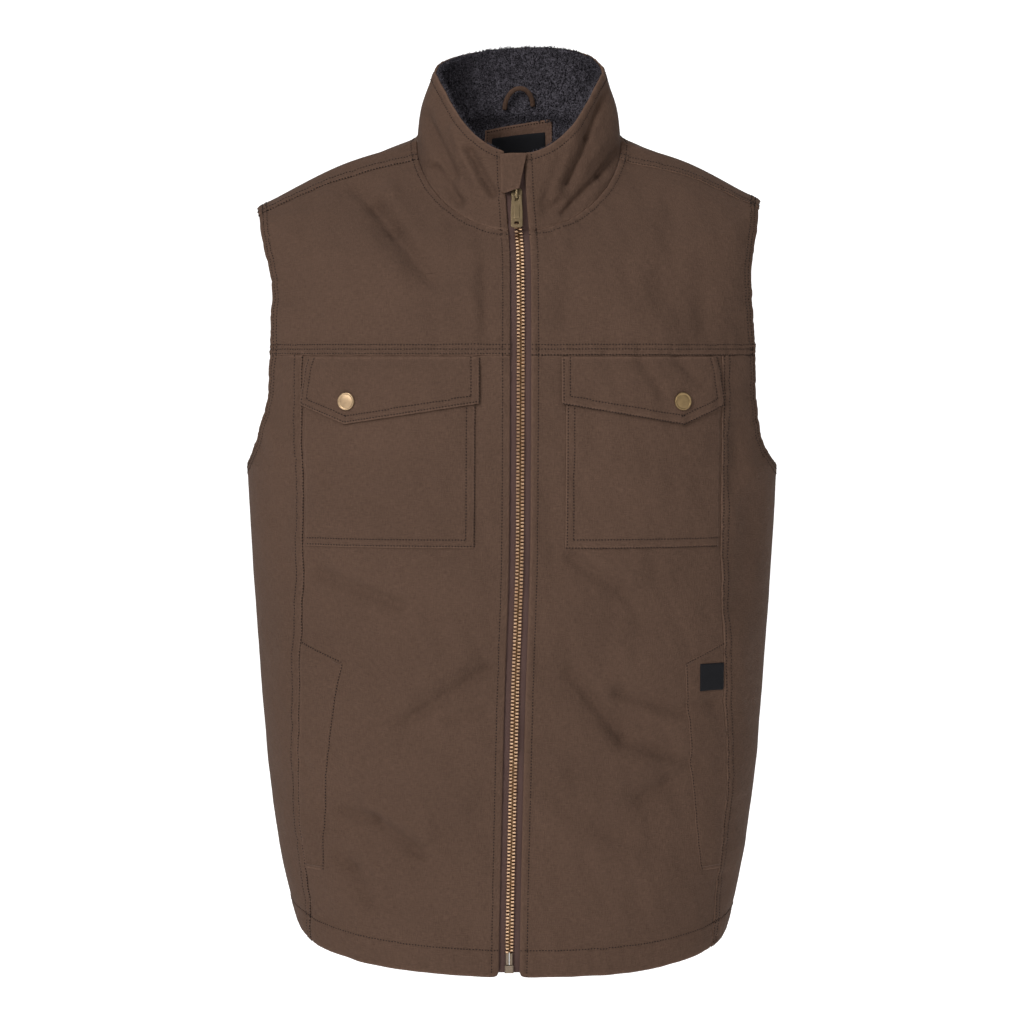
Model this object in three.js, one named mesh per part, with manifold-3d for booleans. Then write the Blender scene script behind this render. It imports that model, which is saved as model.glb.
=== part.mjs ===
// Canvas work vest with a stand collar, a brass zip front and patch pockets, in millimetres.
// +Z is up, the front faces -Y and +X is the wearer's left.
// The origin is the middle of the neck opening, level with the inner ends of the shoulder lines.
// The vest stands as it does when worn, round an empty torso.

import * as THREE from "three";
import Module from "manifold-3d";

// Driving dimensions

const CANVAS_WALL = 2.4; // body panels: canvas with its bonded backing
const COLLAR_WALL = 2.2;
const PILE_WALL = 3.6; // pile lining of the collar and the back of the neck
const PATCH_WALL = 1.5; // pockets, flaps, welts and the zip garage
const LABEL_WALL = 0.9;
const SEAM_GAP = 0.3; // half of the gap left between two panels
const LAYER_GAP = 1; // between one layer and the facets of the layer it lies on
const CELL = 26; // length of the facets along the cloth

const FRONT_OPENING = 9.5; // from the middle of the zip to each front edge
const SHOULDER_SEAM_ANGLE = 1.344; // the shoulder seam lies forward of the shoulder line
const COLLAR_SHIFT = 6.5; // the collar stands a little towards the wearer's left
const COLLAR_TILT = 0.05; // and the back of its free edge rises to that side

const ARMHOLE = {
  top_z: -58,
  deepest_z: -212,
  bottom_z: -302,
  front_reach: 76,
  back_reach: 72,
  squareness: 2.2,
  low_squareness: { right: 2.5, left: 3.2 }, // below its deepest point
};

const POCKET = { from_zip: 41, from_seam: 3, top_z: -216, bottom_z: -374, bulge: 3.2 };
const FLAP = {
  from_zip: 37,
  past_seam: 0.5,
  top_inset: 6, // the outer end slants in towards its top
  top_z: -202,
  inner_z: -243.5,
  point_z: -262.5,
  outer_z: -245,
  point_share: 0.742, // of the way from the inner end to the outer end
};
const SNAP = { radius: 8.2, height: 2.6, share: 0.73, above_point: 20.5, stand_off: 1 };
const WELT = {
  inner_top_x: { right: 155, left: 158 },
  inner_bottom_x: 174,
  bow: { right: 2.2, left: 0.75 }, // above 1 the inner edge bows outwards
  from_seam: 1.5,
  inner_top_z: -480,
  outer_top_z: -463,
  bottom_z: -674,
};
const POCKET_LABEL = { width: 22, height: 25, from_seam: 2.5, top_z: -482 };

// heights of the zip's layers are measured from the outer face of the canvas
const TAPE = { bottom_z: -762, top_z: -22, reach: 15, middle_gap: 0.4, outer: -4.5, inner: -5.5 };
const BOX = { width: 8, height: 7, outer: 1.3, inner: -2.4 };
const CHAIN = { half_width: 3.1, top_z: -66, outer: 0.5, inner: -2.4 };
const SLIDER = { width: 10, length: 17, corner: 2.4, outer: 1.8, inner: -2.2, bottom_z: -65 };
const BRIDGE = { width: 2, reach: 4.4, bar: 1.6, length: 10, from_bottom: 7, corner: 1.2 };
const PULL = { top_width: 9, width: 10.8, length: 31, wall: 1.6, corner: 2.6, pin: 1.5, lean: 0.1 };
const PULL_WINDOW = { width: 3.6, length: 4.4 };
const PULL_BAND = { width: 5, top: 8, bottom: 22, rise: 0.5 };
const PULL_SLOT = { width: 4.4, height: 2.8, below_pin: 26 };
const NECK_BLEND = 9; // the zip turns from chest to collar over this height each way
const GARAGE = {
  inner: -13,
  outer_top: 11.4,
  outer_bottom: 1.7,
  top_z: -17,
  bottom_z: -54,
  bottom_rise: 6, // the bottom edge rises towards its outer end
  arch: 6.4,
};

const NECK_PATCH = { width: 68, top_z: 24, height: 43, tilt: 0.16 };
const NECK_LABEL = { width: 54, top_z: 14, height: 18, tilt: 0.11 };
const BACK_LINING = { half_angle: 1.15, rings: 1.15 };
const LOOP = { span: 27, height: 18, foot_z: 38, stand_off: 7, across: 4.6, deep: 3.2, tilt: 0.12 };

// Sections and folds

const table = (columns, rows) => {
  return rows.map((row) => Object.fromEntries(columns.map((column, i) => [column, row[i]])));
};

// The body is a loft through rings, from the hem up to the neck seam. Each ring is a rounded oval whose
// height changes from its sides to its front and back middles; dip and back_dip set how that change is
// spread over the front and the back.
// zip is where the zip crosses the ring. shift moves the ring towards the wearer's left and lean raises it
// on that side. seam and back_seam are the distances of the side panel's seams from the middle.
const HEIGHTS = ["front_z", "side_z", "back_z", "dip", "back_dip"];
const WIDTHS = ["half_width", "front_depth", "back_depth", "squareness", "zip", "shift", "lean"];
const BODY_RINGS = table(
  [...HEIGHTS, ...WIDTHS, "seam", "back_seam"],
  [
    [-766, -737, -750, 1.5, 1.5, 203, 137, 120, 2.5, -2.7, 0, -0.016, 186, 158],
    [-690, -681, -687, 2.0, 2.0, 217.5, 141, 120, 2.45, -1.5, 0, -0.008, 190.5, 164],
    [-600, -595, -598, 2.0, 2.0, 230, 145, 117, 2.4, 0.5, 0, 0, 197, 170],
    [-500, -498, -500, 2.0, 2.0, 238, 147, 113, 2.35, 3.0, 0, 0, 195, 173],
    [-395, -395, -395, 2.0, 2.0, 245, 149, 117, 2.35, 6.5, 0, 0, 191.5, 176],
    [-302, -302, -302, 2.0, 2.0, 249, 150, 124, 2.4, 7.4, 0, 0, 191.5, 180],
    [-200, -200, -200, 2.0, 2.0, 244, 146, 128, 2.5, 7.8, 0, 0, 191.5, 184],
    [-152, -124, -132, 1.9, 1.9, 243, 133, 120, 2.4, 7.8, -0.5, 0.004, 191.5, 184],
    [-124, -58, -72, 1.6, 1.6, 237, 118, 107, 2.2, 7.6, -3, 0.014, 191.5, 184],
    [-105, -20, -22, 1.3, 1.3, 163, 105, 93, 2.1, 7.2, 2.5, 0.006, 160, 160],
    [-87, 0, 32, 1.1, 1.1, 96, 92, 80, 2.05, 6, COLLAR_SHIFT, 0, 90, 90],
  ],
);
const HEM = 0;
const UNDERARM = 5;
const YOKE = 6;
const SHOULDER_TIP = 8;
const NECK = 10;

// The collar is a second loft, from the neck seam up to its free edge.
const COLLAR_RINGS = table(
  [...HEIGHTS, ...WIDTHS],
  [
    [-87, 0, 32, 1.1, 1.1, 96, 92, 80, 2.05, 6, COLLAR_SHIFT, 0],
    [-52, 33, 66, 1.5, 1.15, 92, 87, 80, 2.05, 3.4, COLLAR_SHIFT, 0],
    [-15, 65, 96, 2.0, 0.9, 80, 79, 74, 2.15, 2, COLLAR_SHIFT, 0],
  ],
);
const COLLAR_TOP = 2;

// Main folds, each a soft trough (depth below 0) or ridge between two points of the front or back view.
const FOLD = ["from_x", "from_z", "to_x", "to_z", "width", "depth"];
const FRONT_FOLDS = table(FOLD, [
  [-146, -44, -74, -126, 16, -5],
  [-175, -395, -60, -425, 22, -4],
  [-95, -530, -20, -485, 18, -4],
  [-90, -600, -15, -545, 20, 3.5],
  [-155, -612, -90, -650, 20, -5],
  [-150, -655, -130, -695, 16, -3.5],
  [70, -120, 130, -185, 24, 3],
  [52, -490, 105, -535, 20, -5],
  [105, -535, 140, -556, 18, -5],
  [105, -508, 140, -520, 14, -3],
  [55, -385, 100, -412, 18, -3.5],
  [120, -602, 146, -590, 16, -4],
  [30, -600, 120, -680, 26, 3],
]);
const BACK_FOLDS = table(FOLD, [
  [-120, -250, -30, -330, 26, -4],
  [120, -250, 30, -330, 26, -4],
  [-140, -560, -10, -500, 26, -5],
  [140, -570, 20, -520, 26, -5],
  [-70, -690, 60, -650, 24, -4],
]);
const COLLAR_FOLDS = table(FOLD, [
  [89, 40, 58, -40, 15, -4],
  [95, 5, 45, -62, 14, -3],
  [-72, 30, -48, -35, 14, -3],
]);

// Materials

const cloth = (color, roughness) => new THREE.MeshStandardMaterial({ color, roughness, metalness: 0 });
const CANVAS = cloth(0x5d493e, 0.9);
const PILE = cloth(0x2e2b31, 1);
const ZIP_TAPE = cloth(0x3f3330, 0.85);
const LABEL = cloth(0x1b1b1e, 0.7);
const BRASS = new THREE.MeshStandardMaterial({ color: 0xb08a55, roughness: 0.35, metalness: 1 });

// Rings and points on them

const { clamp, lerp, smoothstep } = THREE.MathUtils;
const SEARCH_STEPS = 36;

// The value in a range where a test turns from true to false.
function searchEdge(low, high, test) {
  for (let i = 0; i < SEARCH_STEPS; i++) {
    const middle = (low + high) / 2;
    if (test(middle)) low = middle;
    else high = middle;
  }
  return low;
}

// Every column of a table at row position v, on a smooth curve through the rows that turns sharply only
// at the shoulder tips.
function rowAt(rows, v) {
  const last = rows.length - 1;
  const base = clamp(Math.floor(v), 0, last - 1);
  const t = v - base;
  const found = {};
  for (const column of Object.keys(rows[0])) {
    const [before, here, next, after] = [-1, 0, 1, 2].map((i) => rows[clamp(base + i, 0, last)][column]);
    const straight = lerp(here, next, t * t * (3 - 2 * t));
    const slope_in = base === SHOULDER_TIP ? next - here : (next - before) / 2;
    const slope_out = (after - here) / 2;
    found[column] = straight + t * (1 - t) * ((1 - t) * slope_in - t * slope_out);
  }
  return found;
}

const bodyRing = (v) => ({ ...rowAt(BODY_RINGS, v), tilt: 0 });
const collarRing = (v) => ({ ...rowAt(COLLAR_RINGS, v), tilt: (COLLAR_TILT * v) / COLLAR_TOP });

// Angle 0 is the front middle, and a quarter turn is the wearer's left side.
function ringPoint(ring, angle) {
  const across = Math.sin(angle);
  const along = Math.cos(angle);
  const power = 2 / ring.squareness;
  const reach = Math.abs(along) ** power;
  const aside = Math.sign(across) * ring.half_width * Math.abs(across) ** power;
  const x = ring.shift + aside;
  const level = ring.side_z + ring.lean * aside;
  if (along > 0) {
    const front_z = level + (ring.front_z - ring.side_z) * reach ** ring.dip;
    return new THREE.Vector3(x, -ring.front_depth * reach, front_z);
  }
  const back_z = level + (ring.back_z - ring.side_z) * reach ** ring.back_dip;
  return new THREE.Vector3(x, ring.back_depth * reach, back_z + ring.tilt * aside * reach);
}

function frontAngle(ring, x) {
  const share = Math.min(1, Math.abs(x - ring.shift) / ring.half_width);
  return Math.sign(x - ring.shift) * Math.asin(share ** (ring.squareness / 2));
}
const backAngle = (ring, x) => Math.sign(x) * (Math.PI - Math.abs(frontAngle(ring, x)));

// Height of the folds at a place in the front or back view.
function foldHeight(folds, x, z) {
  let height = 0;
  for (const fold of folds) {
    const run = new THREE.Vector2(fold.to_x - fold.from_x, fold.to_z - fold.from_z);
    const here = new THREE.Vector2(x - fold.from_x, z - fold.from_z);
    const along = here.dot(run) / run.lengthSq();
    const past = Math.max(0, -along, along - 1) * run.length();
    const aside = here.cross(run) / run.length();
    height += fold.depth * Math.exp(-(aside ** 2 + past ** 2) / fold.width ** 2);
  }
  return height;
}

// A site is a point on the cloth with the direction that faces out of it.
const SITE_STEP = 1e-3;
const FOLD_FADE = 2.5; // folds fade out towards the sides

function siteOn(loft, v, angle) {
  const at = (row, turn) => ringPoint(loft.ring(row), turn);
  const point = at(v, angle);
  const round = at(v, angle + SITE_STEP).sub(at(v, angle - SITE_STEP));
  const up = at(v + SITE_STEP, angle).sub(at(v - SITE_STEP, angle));
  const normal = round.cross(up).normalize();
  const facing = Math.cos(angle);
  const share = Math.min(1, Math.abs(facing) * FOLD_FADE);
  const folds = facing > 0 ? loft.front_folds : loft.back_folds;
  point.addScaledVector(normal, share * foldHeight(folds, point.x, point.z));
  return { point, normal };
}
const BODY = { ring: bodyRing, top: NECK, front_folds: FRONT_FOLDS, back_folds: BACK_FOLDS };
const COLLAR = { ring: collarRing, top: COLLAR_TOP, front_folds: COLLAR_FOLDS, back_folds: [] };

const off = (site, height) => site.point.clone().addScaledVector(site.normal, height);

// The site where the front view, or the view from behind, shows x and z.
function siteAt(loft, x, z, back = false) {
  const angleOn = (ring) => (back ? Math.PI - frontAngle(ring, x) : frontAngle(ring, x));
  const isBelow = (v) => {
    const ring = loft.ring(v);
    return ringPoint(ring, angleOn(ring)).z < z;
  };
  const v = searchEdge(-0.5, loft.top + 0.5, isBelow);
  return siteOn(loft, v, angleOn(loft.ring(v)));
}

// The armhole is an egg in the side view, deepest low down. This is the angle at which a ring meets its edge.
function armholeAngle(side, v, back = false) {
  if (v <= UNDERARM || v >= SHOULDER_TIP) return Math.PI / 2;
  const { top_z, deepest_z, bottom_z } = ARMHOLE;
  const reach = back ? ARMHOLE.back_reach : ARMHOLE.front_reach;
  const ring = bodyRing(v);
  const isOnCloth = (angle) => {
    const { x, y, z } = ringPoint(ring, angle);
    const level_z = z - ring.lean * (x - ring.shift);
    const height = (level_z - deepest_z) / ((level_z > deepest_z ? top_z : bottom_z) - deepest_z);
    const squareness = level_z > deepest_z ? ARMHOLE.squareness : ARMHOLE.low_squareness[side];
    return Math.abs(y / reach) ** squareness + height ** squareness > 1;
  };
  const deep = back ? Math.PI * 0.8 : Math.PI * 0.2;
  return searchEdge(deep, Math.PI / 2, isOnCloth);
}

// The ring where the shoulder seam runs out into the armhole's front edge, the same on both sides.
const SHOULDER_SEAM_END = searchEdge(
  (YOKE + SHOULDER_TIP) / 2,
  SHOULDER_TIP,
  (v) => armholeAngle("left", v) < SHOULDER_SEAM_ANGLE,
);

// Solids

const vest = new THREE.Group();

function addMesh(name, geometry, material, group = vest) {
  const mesh = new THREE.Mesh(geometry, material);
  mesh.name = name;
  group.add(mesh);
  return mesh;
}

// Collects the points of a wall of cloth; points that fall together become one.
class Wall {
  ids = new Map();
  outer = [];
  inner = [];
  triangles = [];

  vertex(site, from, to) {
    const point = off(site, to);
    const key = point.toArray().map((n) => Math.round(n * 50)).join(" ");
    if (!this.ids.has(key)) {
      this.ids.set(key, this.outer.length);
      this.outer.push(point);
      this.inner.push(off(site, from));
    }
    return this.ids.get(key);
  }

  triangle(a, b, c) {
    if (a !== b && b !== c && c !== a) this.triangles.push([a, b, c]);
  }

  // Adds a grid of sites. A patch gives site(s, t) for s and t from 0 to 1, and the heights of the
  // wall's two faces, from and to, as numbers or as functions of s and t.
  addPatch({ columns, rows, site, from, to }) {
    const valueOf = (height, s, t) => (typeof height === "function" ? height(s, t) : height);
    const grid = [];
    for (let j = 0; j <= rows; j++) {
      for (let i = 0; i <= columns; i++) {
        const [s, t] = [i / columns, j / rows];
        const here = site(s, t);
        const id = this.vertex(here, valueOf(from, s, t), valueOf(to, s, t));
        grid.push({ id, normal: here.normal });
      }
    }
    const cornersOf = (i, j) => {
      const low = j * (columns + 1) + i;
      const high = low + columns + 1;
      return [low, low + 1, high + 1, high].map((k) => grid[k]);
    };
    const middle = cornersOf(Math.floor(columns / 2), Math.floor(rows / 2));
    const [p, q, r, s] = middle.map(({ id }) => this.outer[id]);
    const is_facing = r.clone().sub(p).cross(s.clone().sub(q)).dot(middle[0].normal) > 0;
    for (let j = 0; j < rows; j++) {
      for (let i = 0; i < columns; i++) {
        const [a, b, c, d] = cornersOf(i, j).map(({ id }) => id);
        this.triangle(a, ...(is_facing ? [b, c] : [c, b]));
        this.triangle(a, ...(is_facing ? [c, d] : [d, c]));
      }
    }
  }

  // Both faces, joined along the free edges.
  geometry() {
    const count = this.outer.length;
    const edges = new Set();
    const faces = [];
    for (const [a, b, c] of this.triangles) {
      faces.push(a, b, c, count + a, count + c, count + b);
      edges.add(`${a} ${b}`).add(`${b} ${c}`).add(`${c} ${a}`);
    }
    for (const edge of edges) {
      const [a, b] = edge.split(" ").map(Number);
      if (!edges.has(`${b} ${a}`)) faces.push(b, a, count + a, b, count + a, count + b);
    }
    return new THREE.BufferGeometry().setFromPoints([...this.outer, ...this.inner]).setIndex(faces);
  }
}

function addWall(name, patches, material) {
  const wall = new Wall();
  patches.forEach((patch) => wall.addPatch(patch));
  return addMesh(name, wall.geometry(), material);
}

const cells = (length) => Math.max(1, Math.round(length / CELL));

// A patch of the body between two rings, whose angle at each ring runs from start(v) to end(v).
function bodyPatch(columns, rows, low, high, start, end, spread = (t) => t) {
  const site = (s, t) => {
    const v = lerp(low, high, spread(t));
    return siteOn(BODY, v, lerp(start(v), end(v), s));
  };
  return { columns, rows, site, from: -CANVAS_WALL, to: 0 };
}
// Rows bunched where the edge of the armhole turns fastest.
const bunchLow = (t) => t * t;
const bunchHigh = (t) => 1 - (1 - t) * (1 - t);

const SIDES = [
  { side: "right", sign: -1 },
  { side: "left", sign: 1 },
];
const edgeX = (ring, sign) => ring.zip + sign * FRONT_OPENING;

// The seam gap as a share of a ring step or of a turn.
const ringGap = (v) => SEAM_GAP / Math.abs(bodyRing(v).side_z - bodyRing(v - 1).side_z);
const YOKE_TOP = YOKE + ringGap(YOKE);
const YOKE_BOTTOM = YOKE - ringGap(YOKE);
const NECK_EDGE = NECK - 2 * ringGap(NECK);
const SEAM_TURN = 0.003;

// Body panels

function addFrontPanel({ side, sign }) {
  const start = (v) => frontAngle(bodyRing(v), edgeX(bodyRing(v), sign));
  const end = (v) => frontAngle(bodyRing(v), sign * (bodyRing(v).seam - SEAM_GAP));
  const rows = cells(BODY_RINGS[YOKE].front_z - BODY_RINGS[HEM].front_z);
  addWall(`front_panel_${side}`, [bodyPatch(7, rows, HEM, YOKE_BOTTOM, start, end)], CANVAS);
}

function addSidePanel({ side, sign }) {
  const seam = (v) => frontAngle(bodyRing(v), sign * (bodyRing(v).seam + SEAM_GAP));
  const back_seam = (v) => backAngle(bodyRing(v), sign * (bodyRing(v).back_seam + SEAM_GAP));
  const middle = () => (sign * Math.PI) / 2;
  const front_edge = (v) => sign * armholeAngle(side, v);
  const back_edge = (v) => sign * armholeAngle(side, v, true);
  const rows = cells(ARMHOLE.bottom_z - BODY_RINGS[HEM].side_z);
  const patches = [
    bodyPatch(4, rows, HEM, UNDERARM, seam, middle),
    bodyPatch(5, rows, HEM, UNDERARM, middle, back_seam),
    bodyPatch(4, 6, UNDERARM, YOKE_BOTTOM, seam, front_edge, bunchLow),
    bodyPatch(5, 6, UNDERARM, YOKE_BOTTOM, back_edge, back_seam, bunchLow),
  ];
  addWall(`side_panel_${side}`, patches, CANVAS);
}

function addFrontYoke({ side, sign }) {
  const start = (v) => frontAngle(bodyRing(v), edgeX(bodyRing(v), sign));
  const shoulder = () => sign * (SHOULDER_SEAM_ANGLE - SEAM_TURN);
  const edge = (v) => sign * Math.min(armholeAngle(side, v), SHOULDER_SEAM_ANGLE - SEAM_TURN);
  const patches = [
    bodyPatch(9, 5, YOKE_TOP, SHOULDER_SEAM_END, start, edge),
    bodyPatch(9, 6, SHOULDER_SEAM_END, NECK_EDGE, start, shoulder),
  ];
  addWall(`front_yoke_${side}`, patches, CANVAS);
}

function addBackYoke() {
  const patches = SIDES.flatMap(({ side, sign }) => {
    const shoulder = () => sign * (SHOULDER_SEAM_ANGLE + SEAM_TURN);
    const edge = (v) => sign * Math.max(armholeAngle(side, v), SHOULDER_SEAM_ANGLE + SEAM_TURN);
    const top = () => (sign * Math.PI) / 2;
    const back_edge = (v) => sign * armholeAngle(side, v, true);
    const back_middle = () => sign * Math.PI;
    return [
      bodyPatch(2, 3, SHOULDER_SEAM_END, SHOULDER_TIP, shoulder, edge, bunchHigh),
      bodyPatch(2, 5, SHOULDER_TIP, NECK_EDGE, shoulder, top),
      bodyPatch(9, 6, YOKE_TOP, SHOULDER_TIP, back_edge, back_middle, bunchHigh),
      bodyPatch(9, 5, SHOULDER_TIP, NECK_EDGE, top, back_middle),
    ];
  });
  addWall("back_yoke", patches, CANVAS);
}

function addBackPanel() {
  const rows = cells(BODY_RINGS[YOKE].back_z - BODY_RINGS[HEM].back_z);
  const patches = SIDES.map(({ sign }) => {
    const seam = (v) => backAngle(bodyRing(v), sign * (bodyRing(v).back_seam - SEAM_GAP));
    return bodyPatch(6, rows, HEM, YOKE_BOTTOM, seam, () => sign * Math.PI);
  });
  addWall("back_panel", patches, CANVAS);
}

// Collar and linings

// A patch round the neck that starts and ends at a distance from the zip.
function collarPatch(from_zip, low, high, from, to) {
  const site = (s, t) => {
    const v = lerp(low, high, t);
    const ring = collarRing(v);
    const start = frontAngle(ring, ring.zip + from_zip);
    const end = 2 * Math.PI + frontAngle(ring, ring.zip - from_zip);
    return siteOn(COLLAR, v, lerp(start, end, s));
  };
  return { columns: 30, rows: 4, site, from, to };
}

function addCollar() {
  addWall("collar", [collarPatch(FRONT_OPENING, 0.02, COLLAR_TOP, -COLLAR_WALL, 0)], CANVAS);
  const face = -COLLAR_WALL - LAYER_GAP;
  const from_zip = TAPE.reach + LAYER_GAP;
  const lining = collarPatch(from_zip, 0.06, COLLAR_TOP - 0.03, face - PILE_WALL, face);
  addWall("collar_lining", [lining], PILE);
}

// The lining goes on below the collar, inside the back of the neck.
const LINING_FACE = -CANVAS_WALL - LAYER_GAP - PILE_WALL;

function addBackNeckLining() {
  const low = NECK - BACK_LINING.rings;
  const high = NECK_EDGE - ringGap(NECK);
  const site = (s, t) => {
    const turn = lerp(-BACK_LINING.half_angle, BACK_LINING.half_angle, s);
    return siteOn(BODY, lerp(low, high, t), Math.PI - turn);
  };
  const patch = { columns: 14, rows: 3, site, from: LINING_FACE, to: LINING_FACE + PILE_WALL };
  addWall("back_neck_lining", [patch], PILE);
}

// A patch or label on the lining inside the back of the neck.
function addNeckPiece(name, sizes, face, wall, material) {
  const site = (s, t) => {
    const aside = (s - 0.5) * sizes.width;
    const z = sizes.top_z - (1 - t) * sizes.height + sizes.tilt * aside;
    return siteAt(BODY, COLLAR_SHIFT + aside, z, true);
  };
  addWall(name, [{ columns: 6, rows: 3, site, from: face - wall, to: face }], material);
}

function addNeckLabels() {
  const patch_face = LINING_FACE - LAYER_GAP;
  const label_face = patch_face - PATCH_WALL - LAYER_GAP;
  addNeckPiece("neck_patch", NECK_PATCH, patch_face, PATCH_WALL, CANVAS);
  addNeckPiece("neck_label", NECK_LABEL, label_face, LABEL_WALL, LABEL);
}

// A fabric loop at the back of the neck, to hang the vest by.
function addHangLoop() {
  const lining_y = COLLAR_RINGS[0].back_depth - COLLAR_WALL - LAYER_GAP - PILE_WALL;
  const foot_y = lining_y - LOOP.deep / 2 - LAYER_GAP;
  const turns = [-1, -0.75, -0.5, -0.25, 0, 0.25, 0.5, 0.75, 1].map((share) => (share * Math.PI) / 2);
  const points = turns.map((turn) => {
    const rise = Math.cos(turn);
    const aside = (Math.sin(turn) * LOOP.span) / 2;
    const z = LOOP.foot_z + LOOP.height * rise + LOOP.tilt * aside;
    return new THREE.Vector3(COLLAR_SHIFT + aside, foot_y - LOOP.stand_off * rise, z);
  });
  const section = new THREE.Shape().absellipse(0, 0, LOOP.across / 2, LOOP.deep / 2, 0, 2 * Math.PI);
  const extrudePath = new THREE.CatmullRomCurve3(points);
  const geometry = new THREE.ExtrudeGeometry(section, { steps: 16, curveSegments: 4, extrudePath });
  addMesh("hang_loop", geometry, CANVAS);
}

// Pockets

// A patch on the front of the body, at x(s, t) and z(s, t) in the front view.
function frontPatch(columns, rows, x, z, from, to) {
  return { columns, rows, from, to, site: (s, t) => siteAt(BODY, x(s, t), z(s, t)) };
}

const hump = (s) => Math.sin(Math.PI * s);

// The ring at a height on the front; the lower rings are almost level.
const frontRing = (z) => bodyRing(searchEdge(HEM, NECK, (v) => bodyRing(v).front_z < z));

function addChestPocket({ side, sign }) {
  const z = (s, t) => lerp(POCKET.bottom_z, POCKET.top_z, t);
  const x = (s, t) => {
    const ring = frontRing(z(s, t));
    return lerp(ring.zip + sign * POCKET.from_zip, sign * (ring.seam - POCKET.from_seam), s);
  };
  const low = (s, t) => LAYER_GAP + POCKET.bulge * hump(s) * Math.sin((Math.PI / 2) * t);
  const patch = frontPatch(7, 7, x, z, low, (s, t) => low(s, t) + PATCH_WALL);
  addWall(`chest_pocket_${side}`, [patch], CANVAS);
}

function flapX(sign, share, t) {
  const ring = frontRing(FLAP.inner_z);
  const outer = ring.seam + FLAP.past_seam - FLAP.top_inset * t;
  return lerp(ring.zip + sign * FLAP.from_zip, sign * outer, share);
}

// The flap is sewn down along its top and lies on the pocket below that.
function flapHeight(s, t) {
  const on_pocket = LAYER_GAP + PATCH_WALL + POCKET.bulge * hump(s);
  return LAYER_GAP + on_pocket * (1 - smoothstep(t, 0.7, 1));
}

function addPocketFlap({ side, sign }) {
  const point_s = FLAP.point_share;
  const bottom = (s) => {
    if (s < point_s) return lerp(FLAP.inner_z, FLAP.point_z, s / point_s);
    return lerp(FLAP.point_z, FLAP.outer_z, (s - point_s) / (1 - point_s));
  };
  const x = (s, t) => flapX(sign, s, t);
  const z = (s, t) => lerp(bottom(s), FLAP.top_z, t);
  const patch = frontPatch(11, 4, x, z, flapHeight, (s, t) => flapHeight(s, t) + PATCH_WALL);
  addWall(`pocket_flap_${side}`, [patch], CANVAS);
}

function addSnap({ side, sign }) {
  const { radius, height } = SNAP;
  const profile = [
    [0, 0],
    [radius * 0.94, 0],
    [radius, height * 0.35],
    [radius * 0.9, height * 0.85],
    [radius * 0.76, height * 0.8],
    [radius * 0.7, height * 0.62],
    [radius * 0.4, height],
    [0, height * 1.08],
  ];
  const points = profile.map(([r, h]) => new THREE.Vector2(r, h));
  const geometry = new THREE.LatheGeometry(points, 14).rotateX(Math.PI / 2);
  const snap = addMesh(`flap_snap_${side}`, geometry, BRASS);
  const site = siteAt(BODY, flapX(sign, SNAP.share, 0), FLAP.point_z + SNAP.above_point);
  const flap_face = flapHeight(SNAP.share, 0) + PATCH_WALL;
  snap.quaternion.setFromUnitVectors(new THREE.Vector3(0, 0, 1), site.normal);
  snap.position.copy(off(site, flap_face + SNAP.stand_off));
}

const WELT_FACE = LAYER_GAP + PATCH_WALL;

function addHandPocketWelt({ side, sign }) {
  const z = (s, t) => lerp(WELT.bottom_z, lerp(WELT.inner_top_z, WELT.outer_top_z, s), t);
  const x = (s, t) => {
    const inner = lerp(WELT.inner_bottom_x, WELT.inner_top_x[side], t ** WELT.bow[side]);
    return sign * lerp(inner, frontRing(z(s, t)).seam - WELT.from_seam, s);
  };
  const patch = frontPatch(2, 9, x, z, LAYER_GAP, WELT_FACE);
  addWall(`hand_pocket_welt_${side}`, [patch], CANVAS);
}

function addPocketLabel() {
  const outer = frontRing(POCKET_LABEL.top_z).seam - POCKET_LABEL.from_seam;
  const x = (s) => outer - (1 - s) * POCKET_LABEL.width;
  const z = (s, t) => POCKET_LABEL.top_z - (1 - t) * POCKET_LABEL.height;
  const low = WELT_FACE + LAYER_GAP;
  addWall("pocket_label", [frontPatch(2, 2, x, z, low, low + LABEL_WALL)], LABEL);
}

// Zip

const NECK_Z = BODY_RINGS[NECK].front_z;
const collarFront = (z) => collarRing(searchEdge(0, COLLAR_TOP, (v) => collarRing(v).front_z < z));
const zipX = (z) => (z < NECK_Z ? frontRing(z) : collarFront(z)).zip;

// A site of the front at a distance from the zip's middle line, on the chest, the collar or the bend
// between them.
function zipSite(aside, z) {
  const x = zipX(z) + aside;
  const chest = siteAt(BODY, x, Math.min(z, NECK_Z + NECK_BLEND));
  const stand = siteAt(COLLAR, x, Math.max(z, NECK_Z - NECK_BLEND));
  const share = smoothstep(z, NECK_Z - NECK_BLEND, NECK_Z + NECK_BLEND);
  const y = lerp(chest.point.y, stand.point.y, share);
  return { point: new THREE.Vector3(x, y, z), normal: chest.normal.lerp(stand.normal, share).normalize() };
}

// A strip along the zip between two distances from its middle line.
function addZipStrip(name, near, far, low_z, high_z, { inner, outer }, material) {
  const bends = [NECK_Z - NECK_BLEND, NECK_Z, NECK_Z + NECK_BLEND].filter((z) => z > low_z && z < high_z);
  const heights = [low_z, ...bends, high_z];
  const patches = heights.slice(1).map((top_z, i) => {
    const bottom_z = heights[i];
    const site = (s, t) => zipSite(lerp(near, far, s), lerp(bottom_z, top_z, t));
    return { columns: 1, rows: cells(top_z - bottom_z), site, from: inner, to: outer };
  });
  addWall(name, patches, material);
}

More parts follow.
